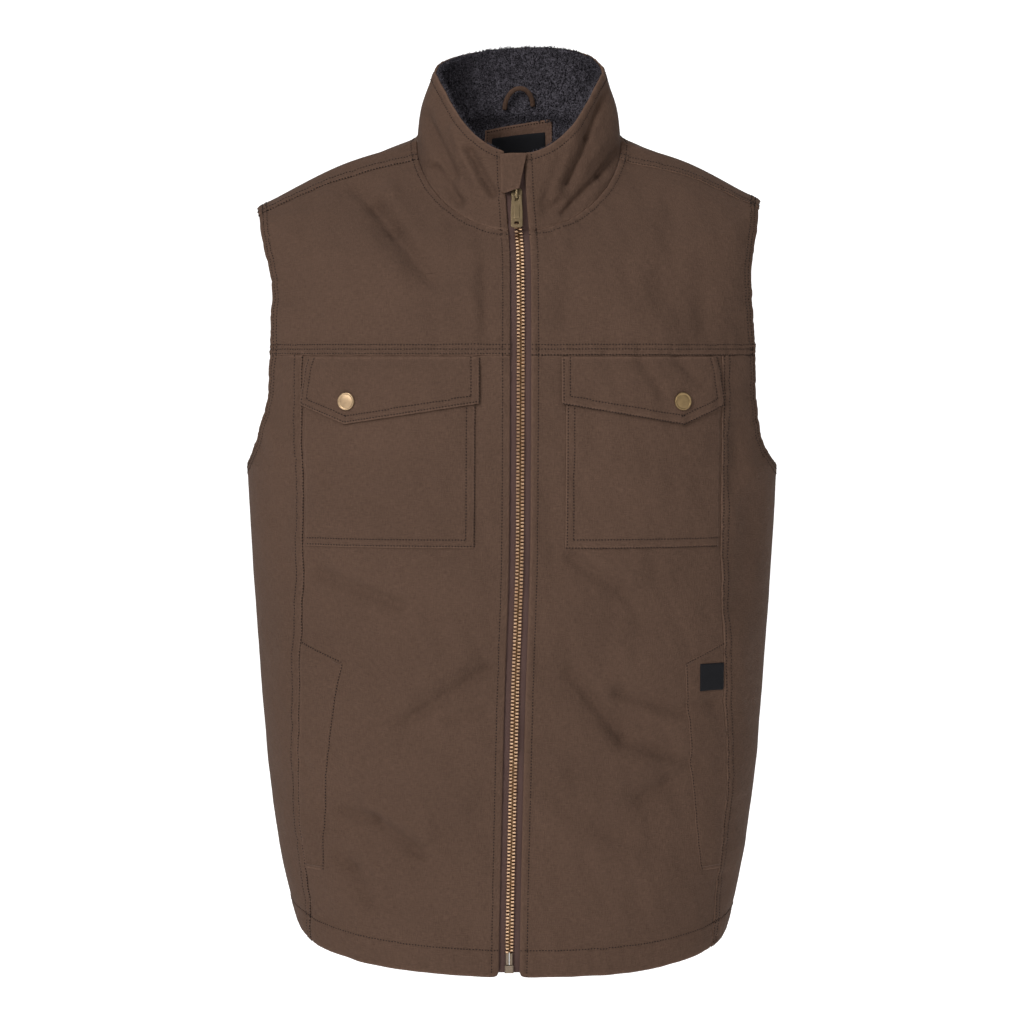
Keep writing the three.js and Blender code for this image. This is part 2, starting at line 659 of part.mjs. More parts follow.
function addZip() {
  for (const { side, sign } of SIDES) {
    const reach = [sign * TAPE.middle_gap, sign * TAPE.reach];
    addZipStrip(`zip_tape_${side}`, ...reach, TAPE.bottom_z, TAPE.top_z, TAPE, ZIP_TAPE);
  }
  const box_top = TAPE.bottom_z + BOX.height;
  const half = CHAIN.half_width;
  addZipStrip("zip_box", -BOX.width / 2, BOX.width / 2, TAPE.bottom_z, box_top, BOX, BRASS);
  addZipStrip("zip_chain", -half, half, box_top + SEAM_GAP, CHAIN.top_z, CHAIN, BRASS);
}

const wasm = await Module();
wasm.setup();

// A closed mesh as a solid that can be joined and cut.
function solid(geometry) {
  const source = geometry.index ? geometry.toNonIndexed() : geometry;
  const position = source.getAttribute("position");
  const ids = new Map();
  const vertices = [];
  const triVerts = new Uint32Array(position.count);
  for (let i = 0; i < position.count; i++) {
    const corner = new THREE.Vector3().fromBufferAttribute(position, i).toArray();
    const key = corner.map((n) => Math.round(n * 1e4)).join(" ");
    if (!ids.has(key)) {
      ids.set(key, ids.size);
      vertices.push(...corner);
    }
    triVerts[i] = ids.get(key);
  }
  const vertProperties = new Float32Array(vertices);
  return new wasm.Manifold(new wasm.Mesh({ numProp: 3, vertProperties, triVerts }));
}

function geometryOf(made) {
  const { vertProperties, triVerts } = made.getMesh();
  const geometry = new THREE.BufferGeometry();
  geometry.setAttribute("position", new THREE.BufferAttribute(vertProperties, 3));
  return geometry.setIndex(new THREE.BufferAttribute(triVerts, 1));
}

// An outline with rounded corners.
function roundedOutline(low_x, low_z, high_x, high_z, radius, Kind = THREE.Shape) {
  const quarter = Math.PI / 2;
  const outline = new Kind();
  outline.absarc(high_x - radius, low_z + radius, radius, -quarter, 0);
  outline.absarc(high_x - radius, high_z - radius, radius, 0, quarter);
  outline.absarc(low_x + radius, high_z - radius, radius, quarter, 2 * quarter);
  outline.absarc(low_x + radius, low_z + radius, radius, 2 * quarter, 3 * quarter);
  return outline;
}

// A plate drawn in X and Z, from a front height to a back height; heights count towards -Y.
function plate(outline, outer, inner) {
  const options = { depth: outer - inner, bevelEnabled: false, curveSegments: 3 };
  return new THREE.ExtrudeGeometry(outline, options).rotateX(Math.PI / 2).translate(0, -inner, 0);
}

// A group on the zip at a height: its +Z runs up the zip and its -Y faces out.
function zipGroup(z) {
  const { point, normal } = zipSite(0, z);
  const group = new THREE.Group();
  group.position.copy(point);
  group.rotation.x = Math.atan2(-normal.z, -normal.y);
  vest.add(group);
  return group;
}

// The slider is a rounded block with a bridge on its face; the pull's pin hangs in the bridge.
function addSlider(group) {
  const half = SLIDER.width / 2;
  const outline = roundedOutline(-half, 0, half, SLIDER.length, SLIDER.corner);
  const block = plate(outline, SLIDER.outer, SLIDER.inner);
  const { bar, corner } = BRIDGE;
  const face = SLIDER.outer;
  const low = BRIDGE.from_bottom;
  const high = low + BRIDGE.length;
  const arch = roundedOutline(face - 1, low, face + BRIDGE.reach, high, corner);
  const hole = [face, low + bar, face + BRIDGE.reach - bar, high - bar, corner / 2];
  arch.holes.push(roundedOutline(...hole, THREE.Path));
  const options = { depth: BRIDGE.width, bevelEnabled: false, curveSegments: 3 };
  const bridge = new THREE.ExtrudeGeometry(arch, options);
  bridge.rotateX(Math.PI / 2).rotateZ(-Math.PI / 2).translate(BRIDGE.width / 2, 0, 0);
  addMesh("zip_slider", geometryOf(solid(block).add(solid(bridge))), BRASS, group);
}

// The pull hangs by the bar above its window, which passes through the slider's bridge.
const PIN_TURN = 0.75; // the square bar needs this share of its width to turn in
const PIN = {
  height: SLIDER.outer + (BRIDGE.reach - BRIDGE.bar) / 2,
  from_bottom: BRIDGE.from_bottom + BRIDGE.bar + PULL.pin * PIN_TURN + SEAM_GAP,
};

function addPull(group) {
  const top = PULL.pin / 2;
  const bottom = top - PULL.length;
  const outline = new THREE.Shape();
  outline.moveTo(-PULL.top_width / 2, top);
  outline.lineTo(-PULL.width / 2, bottom / 2);
  outline.absarc(-PULL.width / 2 + PULL.corner, bottom + PULL.corner, PULL.corner, Math.PI, 1.5 * Math.PI);
  outline.absarc(PULL.width / 2 - PULL.corner, bottom + PULL.corner, PULL.corner, -Math.PI / 2, 0);
  outline.lineTo(PULL.width / 2, bottom / 2);
  outline.lineTo(PULL.top_width / 2, top);
  const half = PULL_WINDOW.width / 2;
  outline.holes.push(roundedOutline(-half, -top - PULL_WINDOW.length, half, -top, 0.5, THREE.Path));
  const slot = [PULL_SLOT.width / 2, PULL_SLOT.height / 2, -PULL_SLOT.below_pin];
  const slot_ends = [-slot[0], slot[2] - slot[1], slot[0], slot[2] + slot[1], slot[1] * 0.9];
  outline.holes.push(roundedOutline(...slot_ends, THREE.Path));
  const blank = plate(outline, PULL.wall / 2, -PULL.wall / 2);
  const band_half = PULL_BAND.width / 2;
  const band = roundedOutline(-band_half, -PULL_BAND.bottom, band_half, -PULL_BAND.top, 1.2);
  const raised = plate(band, PULL.wall / 2 + PULL_BAND.rise, 0);
  const pull = addMesh("zip_pull", geometryOf(solid(blank).add(solid(raised))), BRASS, group);
  pull.position.set(0, -PIN.height, PIN.from_bottom);
  pull.rotation.x = -PULL.lean;
}

// A flap of canvas that arches over the top of the slider.
function addGarage() {
  const x = (s, t) => lerp(GARAGE.inner, lerp(GARAGE.outer_bottom, GARAGE.outer_top, t), s);
  const round_bottom = (s) => GARAGE.bottom_z + GARAGE.bottom_rise * smoothstep(s, 0.3, 1);
  const z = (s, t) => lerp(round_bottom(s), GARAGE.top_z, t);
  const low = (s, t) => LAYER_GAP + GARAGE.arch * smoothstep(s, 0, 0.45) * (1 - 0.5 * t);
  const site = (s, t) => zipSite(x(s, t), z(s, t));
  const high = (s, t) => low(s, t) + PATCH_WALL;
  addWall("zip_garage", [{ columns: 8, rows: 5, site, from: low, to: high }], CANVAS);
}

// Assembly

SIDES.forEach(addFrontPanel);
SIDES.forEach(addSidePanel);
SIDES.forEach(addFrontYoke);
addBackYoke();
addBackPanel();
addCollar();
addBackNeckLining();
addNeckLabels();
addHangLoop();
SIDES.forEach(addChestPocket);
SIDES.forEach(addPocketFlap);
SIDES.forEach(addSnap);
SIDES.forEach(addHandPocketWelt);
addPocketLabel();
addZip();
const slider_group = zipGroup(SLIDER.bottom_z);
addSlider(slider_group);
addPull(slider_group);
addGarage();

export default vest;
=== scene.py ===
"""Looks of the canvas work vest: finer pieces over its solids, their materials, and the studio."""

import math

import bpy
import numpy as np
from mathutils import Matrix, Vector
from mathutils.bvhtree import BVHTree


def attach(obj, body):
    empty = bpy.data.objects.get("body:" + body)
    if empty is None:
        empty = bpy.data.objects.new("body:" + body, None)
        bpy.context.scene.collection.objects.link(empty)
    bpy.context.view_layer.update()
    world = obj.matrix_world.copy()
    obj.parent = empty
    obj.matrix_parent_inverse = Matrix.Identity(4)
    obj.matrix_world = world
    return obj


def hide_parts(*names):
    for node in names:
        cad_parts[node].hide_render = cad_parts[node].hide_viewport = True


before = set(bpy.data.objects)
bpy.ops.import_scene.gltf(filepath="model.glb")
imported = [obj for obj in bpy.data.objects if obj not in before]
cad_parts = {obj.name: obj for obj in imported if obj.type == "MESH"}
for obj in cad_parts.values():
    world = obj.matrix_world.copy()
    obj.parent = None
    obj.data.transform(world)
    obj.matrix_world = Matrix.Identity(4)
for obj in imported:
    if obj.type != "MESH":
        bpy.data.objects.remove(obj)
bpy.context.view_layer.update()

# Lengths are in millimetres until a mesh is made. +Z is up, the front faces -Y, +X is the wearer's left.
MM = 0.001
rng = np.random.default_rng(11)

# Driving dimensions: the solids' own, but here the layers lie on each other
CANVAS_WALL = 2.4
COLLAR_WALL = 2.2
PILE_WALL = 3.6
PATCH_WALL = 1.3
LABEL_WALL = 0.8
SEAM_GAP = 0.05  # half of the gap left between two panels
LAYER_GAP = 0.25
FRONT_OPENING = 9.5
SHOULDER_SEAM_ANGLE = 1.344
COLLAR_SHIFT = 6.5
COLLAR_TILT = 0.05
NECK_BLEND = 9
SIDES = (("right", -1), ("left", 1))

ARMHOLE = dict(top_z=-58, deepest_z=-212, bottom_z=-302, front_reach=76, back_reach=72, squareness=2.2,
               low_squareness={-1: 2.5, 1: 3.2})
POCKET = dict(from_zip=41, from_seam=3, top_z=-216, bottom_z=-374, bulge=3.2)
FLAP = dict(from_zip=37, past_seam=0.5, top_inset=6, top_z=-202, inner_z=-243.5, point_z=-262.5, outer_z=-245,
            point_share=0.742, lift=1.0, lift_share=0.14, down_from=0.7)
SNAP = dict(radius=8.2, height=2.6, share=0.73, above_point=20.5, stand_off=0.1, sides=48)
WELT = dict(inner_top_x={-1: 155, 1: 158}, inner_bottom_x=174, bow={-1: 2.2, 1: 0.75}, from_seam=0.3,
            inner_top_z=-480, outer_top_z=-463, bottom_z=-674)
POCKET_LABEL = dict(width=22, height=25, from_seam=0.6, top_z=-482)
TAPE = dict(bottom_z=-762, top_z=-22, reach=15, middle_gap=0.4, outer=-2.6, inner=-3.6)
BOX = dict(width=8, height=7, outer=1.3, inner=-2.4, bevel=0.7)
PIN = dict(width=3, length=11, aside=1.7, bevel=0.5, room=12)
CHAIN = dict(top_z=-66, outer=0.5, inner=-2.4)
SLIDER = dict(width=10, length=17, corner=2.4, outer=1.8, inner=-2.2, bottom_z=-65, bevel=0.6)
BRIDGE = dict(width=2, reach=4.4, bar=1.6, length=10, from_bottom=7, corner=1.2, sunk=1, bevel=0.3)
PULL = dict(top_width=9, width=10.8, length=31, wall=1.6, corner=2.6, top_corner=0.6, bevel=0.3, pin=1.5,
            lean=0.1, pin_turn=0.75, pin_gap=0.3)
PULL_WINDOW = dict(width=3.6, length=4.4, corner=0.5)
PULL_BAND = dict(width=5, top=8, bottom=22, rise=0.5, corner=1.2)
PULL_SLOT = dict(width=4.4, height=2.8, below_pin=26, roundness=0.9)
GARAGE = dict(inner=-13, outer_top=11.4, outer_bottom=3.5, top_z=-16, bottom_z=-52.5, bottom_rise=3,
              rise_from=0.3, arch=6.4, arch_to=0.45, arch_loss=0.5)
NECK_PATCH = dict(width=68, top_z=24, height=43, tilt=0.16)
NECK_LABEL = dict(width=54, top_z=14, height=18, tilt=0.11)
COLLAR_LINING = dict(low=-0.18, below_top=0.03, rows=32, columns=180, rim=0.5)
BACK_LINING = dict(half_angle=1.15, rings=1.15, rows=24, columns=70)
LOOP = dict(span=27, height=18, foot_z=38, foot_gap=1, stand_off=7, across=4.6, deep=3.2, tilt=0.12, steps=40,
            sides=16)
HEM_CORNER = 8  # the hem rounds off into the front edges

# Rings of the body and the collar, from below
RING_COLUMNS = ("front_z", "side_z", "back_z", "dip", "back_dip", "half_width", "front_depth", "back_depth",
                "squareness", "zip", "shift", "lean", "seam", "back_seam")
BODY_RINGS = (
    (-766, -737, -750, 1.5, 1.5, 203, 137, 120, 2.5, -2.7, 0, -0.016, 186, 158),
    (-690, -681, -687, 2.0, 2.0, 217.5, 141, 120, 2.45, -1.5, 0, -0.008, 190.5, 164),
    (-600, -595, -598, 2.0, 2.0, 230, 145, 117, 2.4, 0.5, 0, 0, 197, 170),
    (-500, -498, -500, 2.0, 2.0, 238, 147, 113, 2.35, 3.0, 0, 0, 195, 173),
    (-395, -395, -395, 2.0, 2.0, 245, 149, 117, 2.35, 6.5, 0, 0, 191.5, 176),
    (-302, -302, -302, 2.0, 2.0, 249, 150, 124, 2.4, 7.4, 0, 0, 191.5, 180),
    (-200, -200, -200, 2.0, 2.0, 244, 146, 128, 2.5, 7.8, 0, 0, 191.5, 184),
    (-152, -124, -132, 1.9, 1.9, 243, 133, 120, 2.4, 7.8, -0.5, 0.004, 191.5, 184),
    (-124, -58, -72, 1.6, 1.6, 237, 118, 107, 2.2, 7.6, -3, 0.014, 191.5, 184),
    (-105, -20, -22, 1.3, 1.3, 163, 105, 93, 2.1, 7.2, 2.5, 0.006, 160, 160),
    (-87, 0, 32, 1.1, 1.1, 96, 92, 80, 2.05, 6, COLLAR_SHIFT, 0, 90, 90),
)
HEM, UNDERARM, YOKE, SHOULDER_TIP, NECK = 0, 5, 6, 8, 10
COLLAR_RINGS = (
    (-87, 0, 32, 1.1, 1.1, 96, 92, 80, 2.05, 6, COLLAR_SHIFT, 0),
    (-52, 33, 66, 1.5, 1.15, 92, 87, 80, 2.05, 3.4, COLLAR_SHIFT, 0),
    (-15, 65, 96, 2.0, 0.9, 80, 79, 74, 2.15, 2, COLLAR_SHIFT, 0),
)
COLLAR_TOP = 2
NECK_Z = BODY_RINGS[NECK][0]

# Folds: from_x, from_z, to_x, to_z, width, depth. Depth below 0 is a trough.
FRONT_FOLDS = (
    (-146, -44, -74, -126, 16, -5),
    (-175, -395, -60, -425, 22, -4),
    (-95, -530, -20, -485, 18, -4),
    (-90, -600, -15, -545, 20, 3.5),
    (-155, -612, -90, -650, 20, -5),
    (-150, -655, -130, -695, 16, -3.5),
    (70, -120, 130, -185, 24, 3),
    (52, -490, 105, -535, 20, -5),
    (105, -535, 140, -556, 18, -5),
    (105, -508, 140, -520, 14, -3),
    (55, -385, 100, -412, 18, -3.5),
    (120, -602, 146, -590, 16, -4),
    (30, -600, 120, -680, 26, 3),
)
BACK_FOLDS = (
    (-120, -250, -30, -330, 26, -4),
    (120, -250, 30, -330, 26, -4),
    (-140, -560, -10, -500, 26, -5),
    (140, -570, 20, -520, 26, -5),
    (-70, -690, 60, -650, 24, -4),
)
COLLAR_FOLDS = (
    (89, 40, 58, -40, 15, -4),
    (95, 5, 45, -62, 14, -3),
    (-72, 30, -48, -35, 14, -3),
)

# Smaller creases, too fine for the solids, with the folds' columns
FRONT_CREASES = (
    (-148, -41, -126, -60, 6, -4),
    (-126, -60, -108, -83, 6, -5),
    (-108, -83, -76, -126, 7, -4),
    (-112, -50, -84, -96, 10, 3),
    (-140, -80, -108, -122, 13, 1.8),
    (-25, -122, -24, -178, 6, -3.4),
    (-39, -112, -36, -188, 11, 1.8),
    (-176, -399, -102, -427, 6, -4),
    (-165, -389, -95, -411, 9, 2),
    (-96, -532, -22, -483, 5, -3.6),
    (-96, -511, -40, -474, 10, 2.4),
    (-57, -531, -24, -520, 4.5, -3),
    (-158, -617, -125, -623, 4.6, -3.4),
    (-125, -623, -82, -655, 4.8, -3.6),
    (-132, -608, -80, -636, 8, 3),
    (-164, -658, -147, -670, 4.6, -2.6),
    (-147, -670, -133, -700, 4.6, -2.6),
    (-160, -640, -136, -660, 8, 2),
    (-60, -640, -20, -600, 11, -2.6),
    (-194, -547, -172, -558, 5, -1.2),
    (-196, -573, -177, -590, 5, -1.2),
    (-194, -618, -173, -633, 5, -1.2),
    (54, -488, 102, -550, 5.5, -4),
    (71, -487, 119, -544, 10, 2.6),
    (102, -550, 162, -571, 5, -3.6),
    (96, -506, 158, -526, 4.6, -3),
    (110, -520, 150, -538, 8, 2),
    (55, -384, 98, -411, 6, -4),
    (70, -379, 110, -403, 9, 2),
    (172, -572, 118, -605, 6, -2.4),
    (162, -518, 192, -518, 4, -2.2),
    (36, -330, 34, -410, 10, -2),
    (40, -600, 100, -640, 11, -2.8),
    (20, -690, 60, -640, 10, 2),
    (60, -100, 48, -170, 11, -2.6),
    (150, -70, 140, -150, 14, -2.4),
    (180, -110, 172, -180, 12, -2),
    (116, -206, 134, -234, 5, -2.4),
    (148, -203, 172, -228, 5, -2.4),
    (-190, -100, -186, -170, 13, -2),
    (-205, -300, -215, -380, 11, -2.6),
    (207, -263, 204, -318, 9, -3),
    (222, -330, 212, -430, 11, -2.6),
    (-215, -430, -205, -560, 12, 2),
    (212, -470, 206, -600, 12, 2),
)
COLLAR_CREASES = (
    (90, 46, 72, 3, 3.0, -4.4),
    (72, 3, 54, -40, 3.0, -4.4),
    (99, -11, 85, -33, 3.6, -4.6),
    (85, -33, 48, -70, 3.4, -4.4),
    (45, -59, 31, -69, 4, -2.6),
    (45, -20, 30, -62, 5, -2.2),
    (60, 10, 40, -45, 7, 2.4),
    (82, -8, 60, -45, 6, 2.6),
    (-40, -12, -18, -52, 4.2, -6.5),
    (-72, -28, -50, -60, 5, -6.5),
    (-84, 24, -56, -34, 5.5, -6),
    (-54, 6, -32, -44, 6, 4.2),
)

# Soft ripples that run over the whole cloth
RIPPLES = dict(count=20, shortest=16, longest=120, height=0.34)


def smoothstep(value, low, high):
    share = np.clip((value - low) / (high - low), 0, 1)
    return share * share * (3 - 2 * share)


def lerp(low, high, share):
    return low + (high - low) * share


def unit(vectors):
    return vectors / np.linalg.norm(vectors, axis=-1, keepdims=True)


# Rings and sites


def ring_at(rows, v):
    """Every column of a ring table at row position v, on a curve that turns sharply at the shoulder tips."""
    values = np.array(rows, float)
    last = len(rows) - 1
    base = np.clip(np.floor(v), 0, last - 1).astype(int)
    t = (v - base)[..., None]
    before, here, after, beyond = [values[np.clip(base + k, 0, last)] for k in (-1, 0, 1, 2)]
    straight = lerp(here, after, t * t * (3 - 2 * t))
    is_tip = (base == SHOULDER_TIP)[..., None]
    slope_in = np.where(is_tip, after - here, (after - before) / 2)
    bend = t * (1 - t) * ((1 - t) * slope_in - t * (beyond - here) / 2)
    return dict(zip(RING_COLUMNS, np.moveaxis(straight + bend, -1, 0)))


def body_ring(v):
    v = np.asarray(v, float)
    return {**ring_at(BODY_RINGS, v), "tilt": 0 * v}


def collar_ring(v):
    v = np.asarray(v, float)
    return {**ring_at(COLLAR_RINGS, v), "tilt": COLLAR_TILT * v / COLLAR_TOP}


def ring_point(ring, angle):
    """Angle 0 is the front middle, and a quarter turn is the wearer's left side."""
    across = np.sin(angle)
    along = np.cos(angle)
    power = 2 / ring["squareness"]
    reach = np.abs(along) ** power
    aside = np.sign(across) * ring["half_width"] * np.abs(across) ** power
    is_front = along > 0
    depth = np.where(is_front, -ring["front_depth"], ring["back_depth"])
    end_z = np.where(is_front, ring["front_z"], ring["back_z"])
    dip = np.where(is_front, ring["dip"], ring["back_dip"])
    lean = ring["lean"] * aside + np.where(is_front, 0, ring["tilt"] * aside * reach)
    z = ring["side_z"] + (end_z - ring["side_z"]) * reach**dip + lean
    return np.stack([ring["shift"] + aside, depth * reach, z], -1)


def front_angle(ring, x):
    aside = x - ring["shift"]
    share = np.minimum(1, np.abs(aside) / ring["half_width"])
    return np.sign(aside) * np.arcsin(share ** (ring["squareness"] / 2))


def back_angle(ring, x):
    return np.sign(x) * (math.pi - np.abs(front_angle(ring, x)))


def make_waves(count, shortest, longest):
    """Directions, phases and heights of a few random waves; the short ones are lower."""
    turn = rng.uniform(0, math.pi, count)
    length = np.geomspace(shortest, longest, count)
    number = 2 * math.pi / length
    phase = rng.uniform(0, 2 * math.pi, count)
    height = RIPPLES["height"] * np.sqrt(length / longest)
    return np.stack([np.cos(turn) * number, np.sin(turn) * number, phase, height], -1)


FRONT_WAVES = make_waves(RIPPLES["count"], RIPPLES["shortest"], RIPPLES["longest"])
BACK_WAVES = make_waves(RIPPLES["count"], RIPPLES["shortest"], RIPPLES["longest"])


def fold_height(folds, waves, x, z):
    height = np.zeros(np.shape(x))
    for from_x, from_z, to_x, to_z, width, depth in folds:
        run_x = to_x - from_x
        run_z = to_z - from_z
        length = math.hypot(run_x, run_z)
        along = ((x - from_x) * run_x + (z - from_z) * run_z) / length**2
        past = np.maximum(0, np.maximum(-along, along - 1)) * length
        aside = ((x - from_x) * run_z - (z - from_z) * run_x) / length
        height += depth * np.exp(-(aside**2 + past**2) / width**2)
    for wave_x, wave_z, phase, rise in waves:
        height += rise * np.sin(wave_x * x + wave_z * z + phase)
    return height


class Loft:
    """Rings with folds, which fade out towards the row where the body and the collar are sewn together."""

    def __init__(self, ring, top, sewn_row, front_folds, back_folds):
        self.ring = ring
        self.top = top
        self.sewn_row = sewn_row
        self.front_folds = front_folds
        self.back_folds = back_folds


BODY = Loft(body_ring, NECK, NECK, FRONT_FOLDS + FRONT_CREASES, BACK_FOLDS)
COLLAR = Loft(collar_ring, COLLAR_TOP, 0, COLLAR_FOLDS + COLLAR_CREASES, ())
SITE_STEP = 1e-3
FOLD_FADE = 2.5
SEWN_FADE = 0.3  # rings
SEARCH_STEPS = 26


def site_on(loft, v, angle):
    """Points on the cloth, and the directions that face out of it."""
    v, angle = np.broadcast_arrays(np.asarray(v, float), np.asarray(angle, float))
    ring = loft.ring(v)
    point = ring_point(ring, angle)
    turned = ring_point(ring, angle + SITE_STEP) - ring_point(ring, angle - SITE_STEP)
    raised = ring_point(loft.ring(v + SITE_STEP), angle) - ring_point(loft.ring(v - SITE_STEP), angle)
    normal = unit(np.cross(turned, raised))
    facing = np.cos(angle)
    share = np.minimum(1, np.abs(facing) * FOLD_FADE) * smoothstep(np.abs(v - loft.sewn_row), 0, SEWN_FADE)
    front = fold_height(loft.front_folds, FRONT_WAVES, point[..., 0], point[..., 2])
    back = fold_height(loft.back_folds, BACK_WAVES, point[..., 0], point[..., 2])
    height = share * np.where(facing > 0, front, back)
    return point + normal * height[..., None], normal


def search_edge(low, high, is_low):
    """Where a test turns from true to false, between two arrays of values."""
    for _ in range(SEARCH_STEPS):
        middle = (low + high) / 2
        below = is_low(middle)
        low = np.where(below, middle, low)
        high = np.where(below, high, middle)
    return low


def site_at(loft, x, z, back=False):
    """The site where the front view, or the view from behind, shows x and z."""
    x, z = np.broadcast_arrays(np.asarray(x, float), np.asarray(z, float))

    def angle_on(ring):
        angle = front_angle(ring, x)
        return math.pi - angle if back else angle

    def is_below(v):
        ring = loft.ring(v)
        return ring_point(ring, angle_on(ring))[..., 2] < z

    v = search_edge(np.full(x.shape, -0.5), np.full(x.shape, loft.top + 0.5), is_below)
    return site_on(loft, v, angle_on(loft.ring(v)))


def armhole_angle(sign, v, back=False):
    """The angle at which a ring meets the edge of one side's armhole, an egg in the side view."""
    v = np.asarray(v, float)
    reach = ARMHOLE["back_reach"] if back else ARMHOLE["front_reach"]
    deepest = ARMHOLE["deepest_z"]
    ring = body_ring(v)

    def is_on_cloth(angle):
        x, y, z = np.moveaxis(ring_point(ring, sign * angle), -1, 0)
        level_z = z - ring["lean"] * (x - ring["shift"])
        is_high = level_z > deepest
        end = np.where(is_high, ARMHOLE["top_z"], ARMHOLE["bottom_z"])
        power = np.where(is_high, ARMHOLE["squareness"], ARMHOLE["low_squareness"][sign])
        height = np.maximum(0, (level_z - deepest) / (end - deepest))
        return np.abs(y / reach) ** power + height**power > 1

    deep = math.pi * (0.8 if back else 0.2)
    edge = search_edge(np.full(v.shape, deep), np.full(v.shape, math.pi / 2), is_on_cloth)
    return np.where((v <= UNDERARM) | (v >= SHOULDER_TIP), math.pi / 2, edge)


SHOULDER_SEAM_END = float(search_edge(np.array((YOKE + SHOULDER_TIP) / 2), np.array(float(SHOULDER_TIP)),
                                      lambda v: armhole_angle(1, v) < SHOULDER_SEAM_ANGLE))


def front_ring(z):
    """The ring at a height on the front."""
    z = np.asarray(z, float)
    v = search_edge(np.full(z.shape, float(HEM)), np.full(z.shape, float(NECK)),
                    lambda middle: body_ring(middle)["front_z"] < z)
    return body_ring(v)


def zip_x(z):
    """Where the zip's middle line runs at a height on the body or the collar."""
    v = search_edge(np.zeros(z.shape), np.full(z.shape, float(COLLAR_TOP)),
                    lambda middle: collar_ring(middle)["front_z"] < z)
    return np.where(z < NECK_Z, front_ring(z)["zip"], collar_ring(v)["zip"])


def ring_gap(v):
    return SEAM_GAP / abs(float(body_ring(v)["side_z"] - body_ring(v - 1)["side_z"]))


YOKE_TOP = YOKE + ring_gap(YOKE)
YOKE_BOTTOM = YOKE - ring_gap(YOKE)
NECK_EDGE = NECK - ring_gap(NECK)
SEAM_TURN = 0.0008


def zip_site(aside, z):
    """A site of the front at a distance from the zip's middle line."""
    aside, z = np.broadcast_arrays(np.asarray(aside, float), np.asarray(z, float))
    x = zip_x(z) + aside
    chest, chest_normal = site_at(BODY, x, np.minimum(z, NECK_Z + NECK_BLEND))
    stand, stand_normal = site_at(COLLAR, x, np.maximum(z, NECK_Z - NECK_BLEND))
    share = smoothstep(z, NECK_Z - NECK_BLEND, NECK_Z + NECK_BLEND)
    y = lerp(chest[..., 1], stand[..., 1], share)
    normal = unit(lerp(chest_normal, stand_normal, share[..., None]))
    return np.stack([x, y, z], -1), normal


# Grids: the spacing of their points, close together near the edges
FINE = 1.3
COARSE = 2.7
PLAIN = 4.2  # on the sides and the back
COLLAR_CELL = 2.2
SHOULDER_CELL = 3.4
# Of each grid, its length and the lengths at its two ends where the points are close together
GRIDS = dict(
    side_front=(100, 13, 15), side_back=(120, 15, 13), front_yoke=(220, 11, 14), back_yoke=(230, 15, 0),
    back_panel=(170, 5, 0), collar_up=(85, 6, 12), collar_round=(520, 10, 10), pocket_across=(150, 11, 4),
    pocket_up=(158, 11, 2), flap_across=(155, 11, 11), flap_up=(50, 11, 2), welt_up=(205, 6, 8),
    garage_across=(24, 4, 4), garage_up=(36, 5, 4),
)
# Of each set of rings, the angle where its spacing is measured and the close lengths at its two ends
RING_SETS = dict(
    front_panel=(0.5, 30, 4), side_panel=(math.pi / 2, 30, 16), front_yoke=(0.6, 14, 0),
    shoulder=(1.6, 14, 10), back_yoke=(2.4, 14, 14), back_panel=(2.8, 30, 4),
)
FRONT_PANEL_ZONES = (11, 4)
NECK_PATCH_ZONES = (5, 5)
POCKET_LABEL_ZONES = (4, 4)
RING_SAMPLES = 160


def spaced(length, low_zone, high_zone, coarse=COARSE):
    """Shares of a length, close together near its two ends."""
    middle = length - low_zone - high_zone
    low = np.linspace(0, low_zone, round(low_zone / FINE), endpoint=False)
    centre = np.linspace(low_zone, low_zone + middle, max(1, round(middle / coarse)), endpoint=False)
    high = np.linspace(length - high_zone, length, round(high_zone / FINE) + 1)
    return np.concatenate([low, centre, high]) / length


def lengths_along(points):
    steps = np.linalg.norm(np.diff(points, axis=0), axis=-1)
    return np.concatenate([np.zeros((1,) + steps.shape[1:]), np.cumsum(steps, axis=0)])


def spaced_rings(low, high, kind, sign=1, coarse=COARSE):
    """Ring positions whose spacing along the cloth, at one angle, is that of spaced()."""
    angle, *zones = RING_SETS[kind]
    v = np.linspace(low, high, RING_SAMPLES)
    run = lengths_along(site_on(BODY, v, sign * angle)[0])
    return np.interp(spaced(run[-1], *zones, coarse) * run[-1], run, v)


# Seams: lines along the cloth, for the relief and the stitches beside them
SEAM_PITCH = 0.8
NEAR_BLOCK = 4000  # points searched at a time


def along_line(points, run, values):
    """Values along a line, at distances from its start."""
    places = lengths_along(points)
    return np.stack([np.interp(run, places, values[:, k]) for k in range(3)], -1)


class Seam:
    def __init__(self, points, normals):
        length = lengths_along(points)[-1]
        self.run = np.linspace(0, length, max(2, round(length / SEAM_PITCH)))
        self.points = along_line(points, self.run, points)
        self.normals = unit(along_line(points, self.run, normals))

    def near(self, points):
        """For each point, the distance to the seam and how far along the seam that is."""
        found = np.empty(len(points), int)
        size = (self.points**2).sum(1)
        for start in range(0, len(points), NEAR_BLOCK):
            block = points[start : start + NEAR_BLOCK]
            found[start : start + NEAR_BLOCK] = np.argmin(size - 2 * block @ self.points.T, axis=1)
        away = np.linalg.norm(points - self.points[found], axis=1)
        return away, self.run[found]


def body_seam(v, angle):
    return Seam(*site_on(BODY, v, angle))


def opening_angle(sign, v):
    """The angle at which a ring meets the edge of one side's front opening."""
    ring = body_ring(v)
    return front_angle(ring, ring["zip"] + sign * FRONT_OPENING)


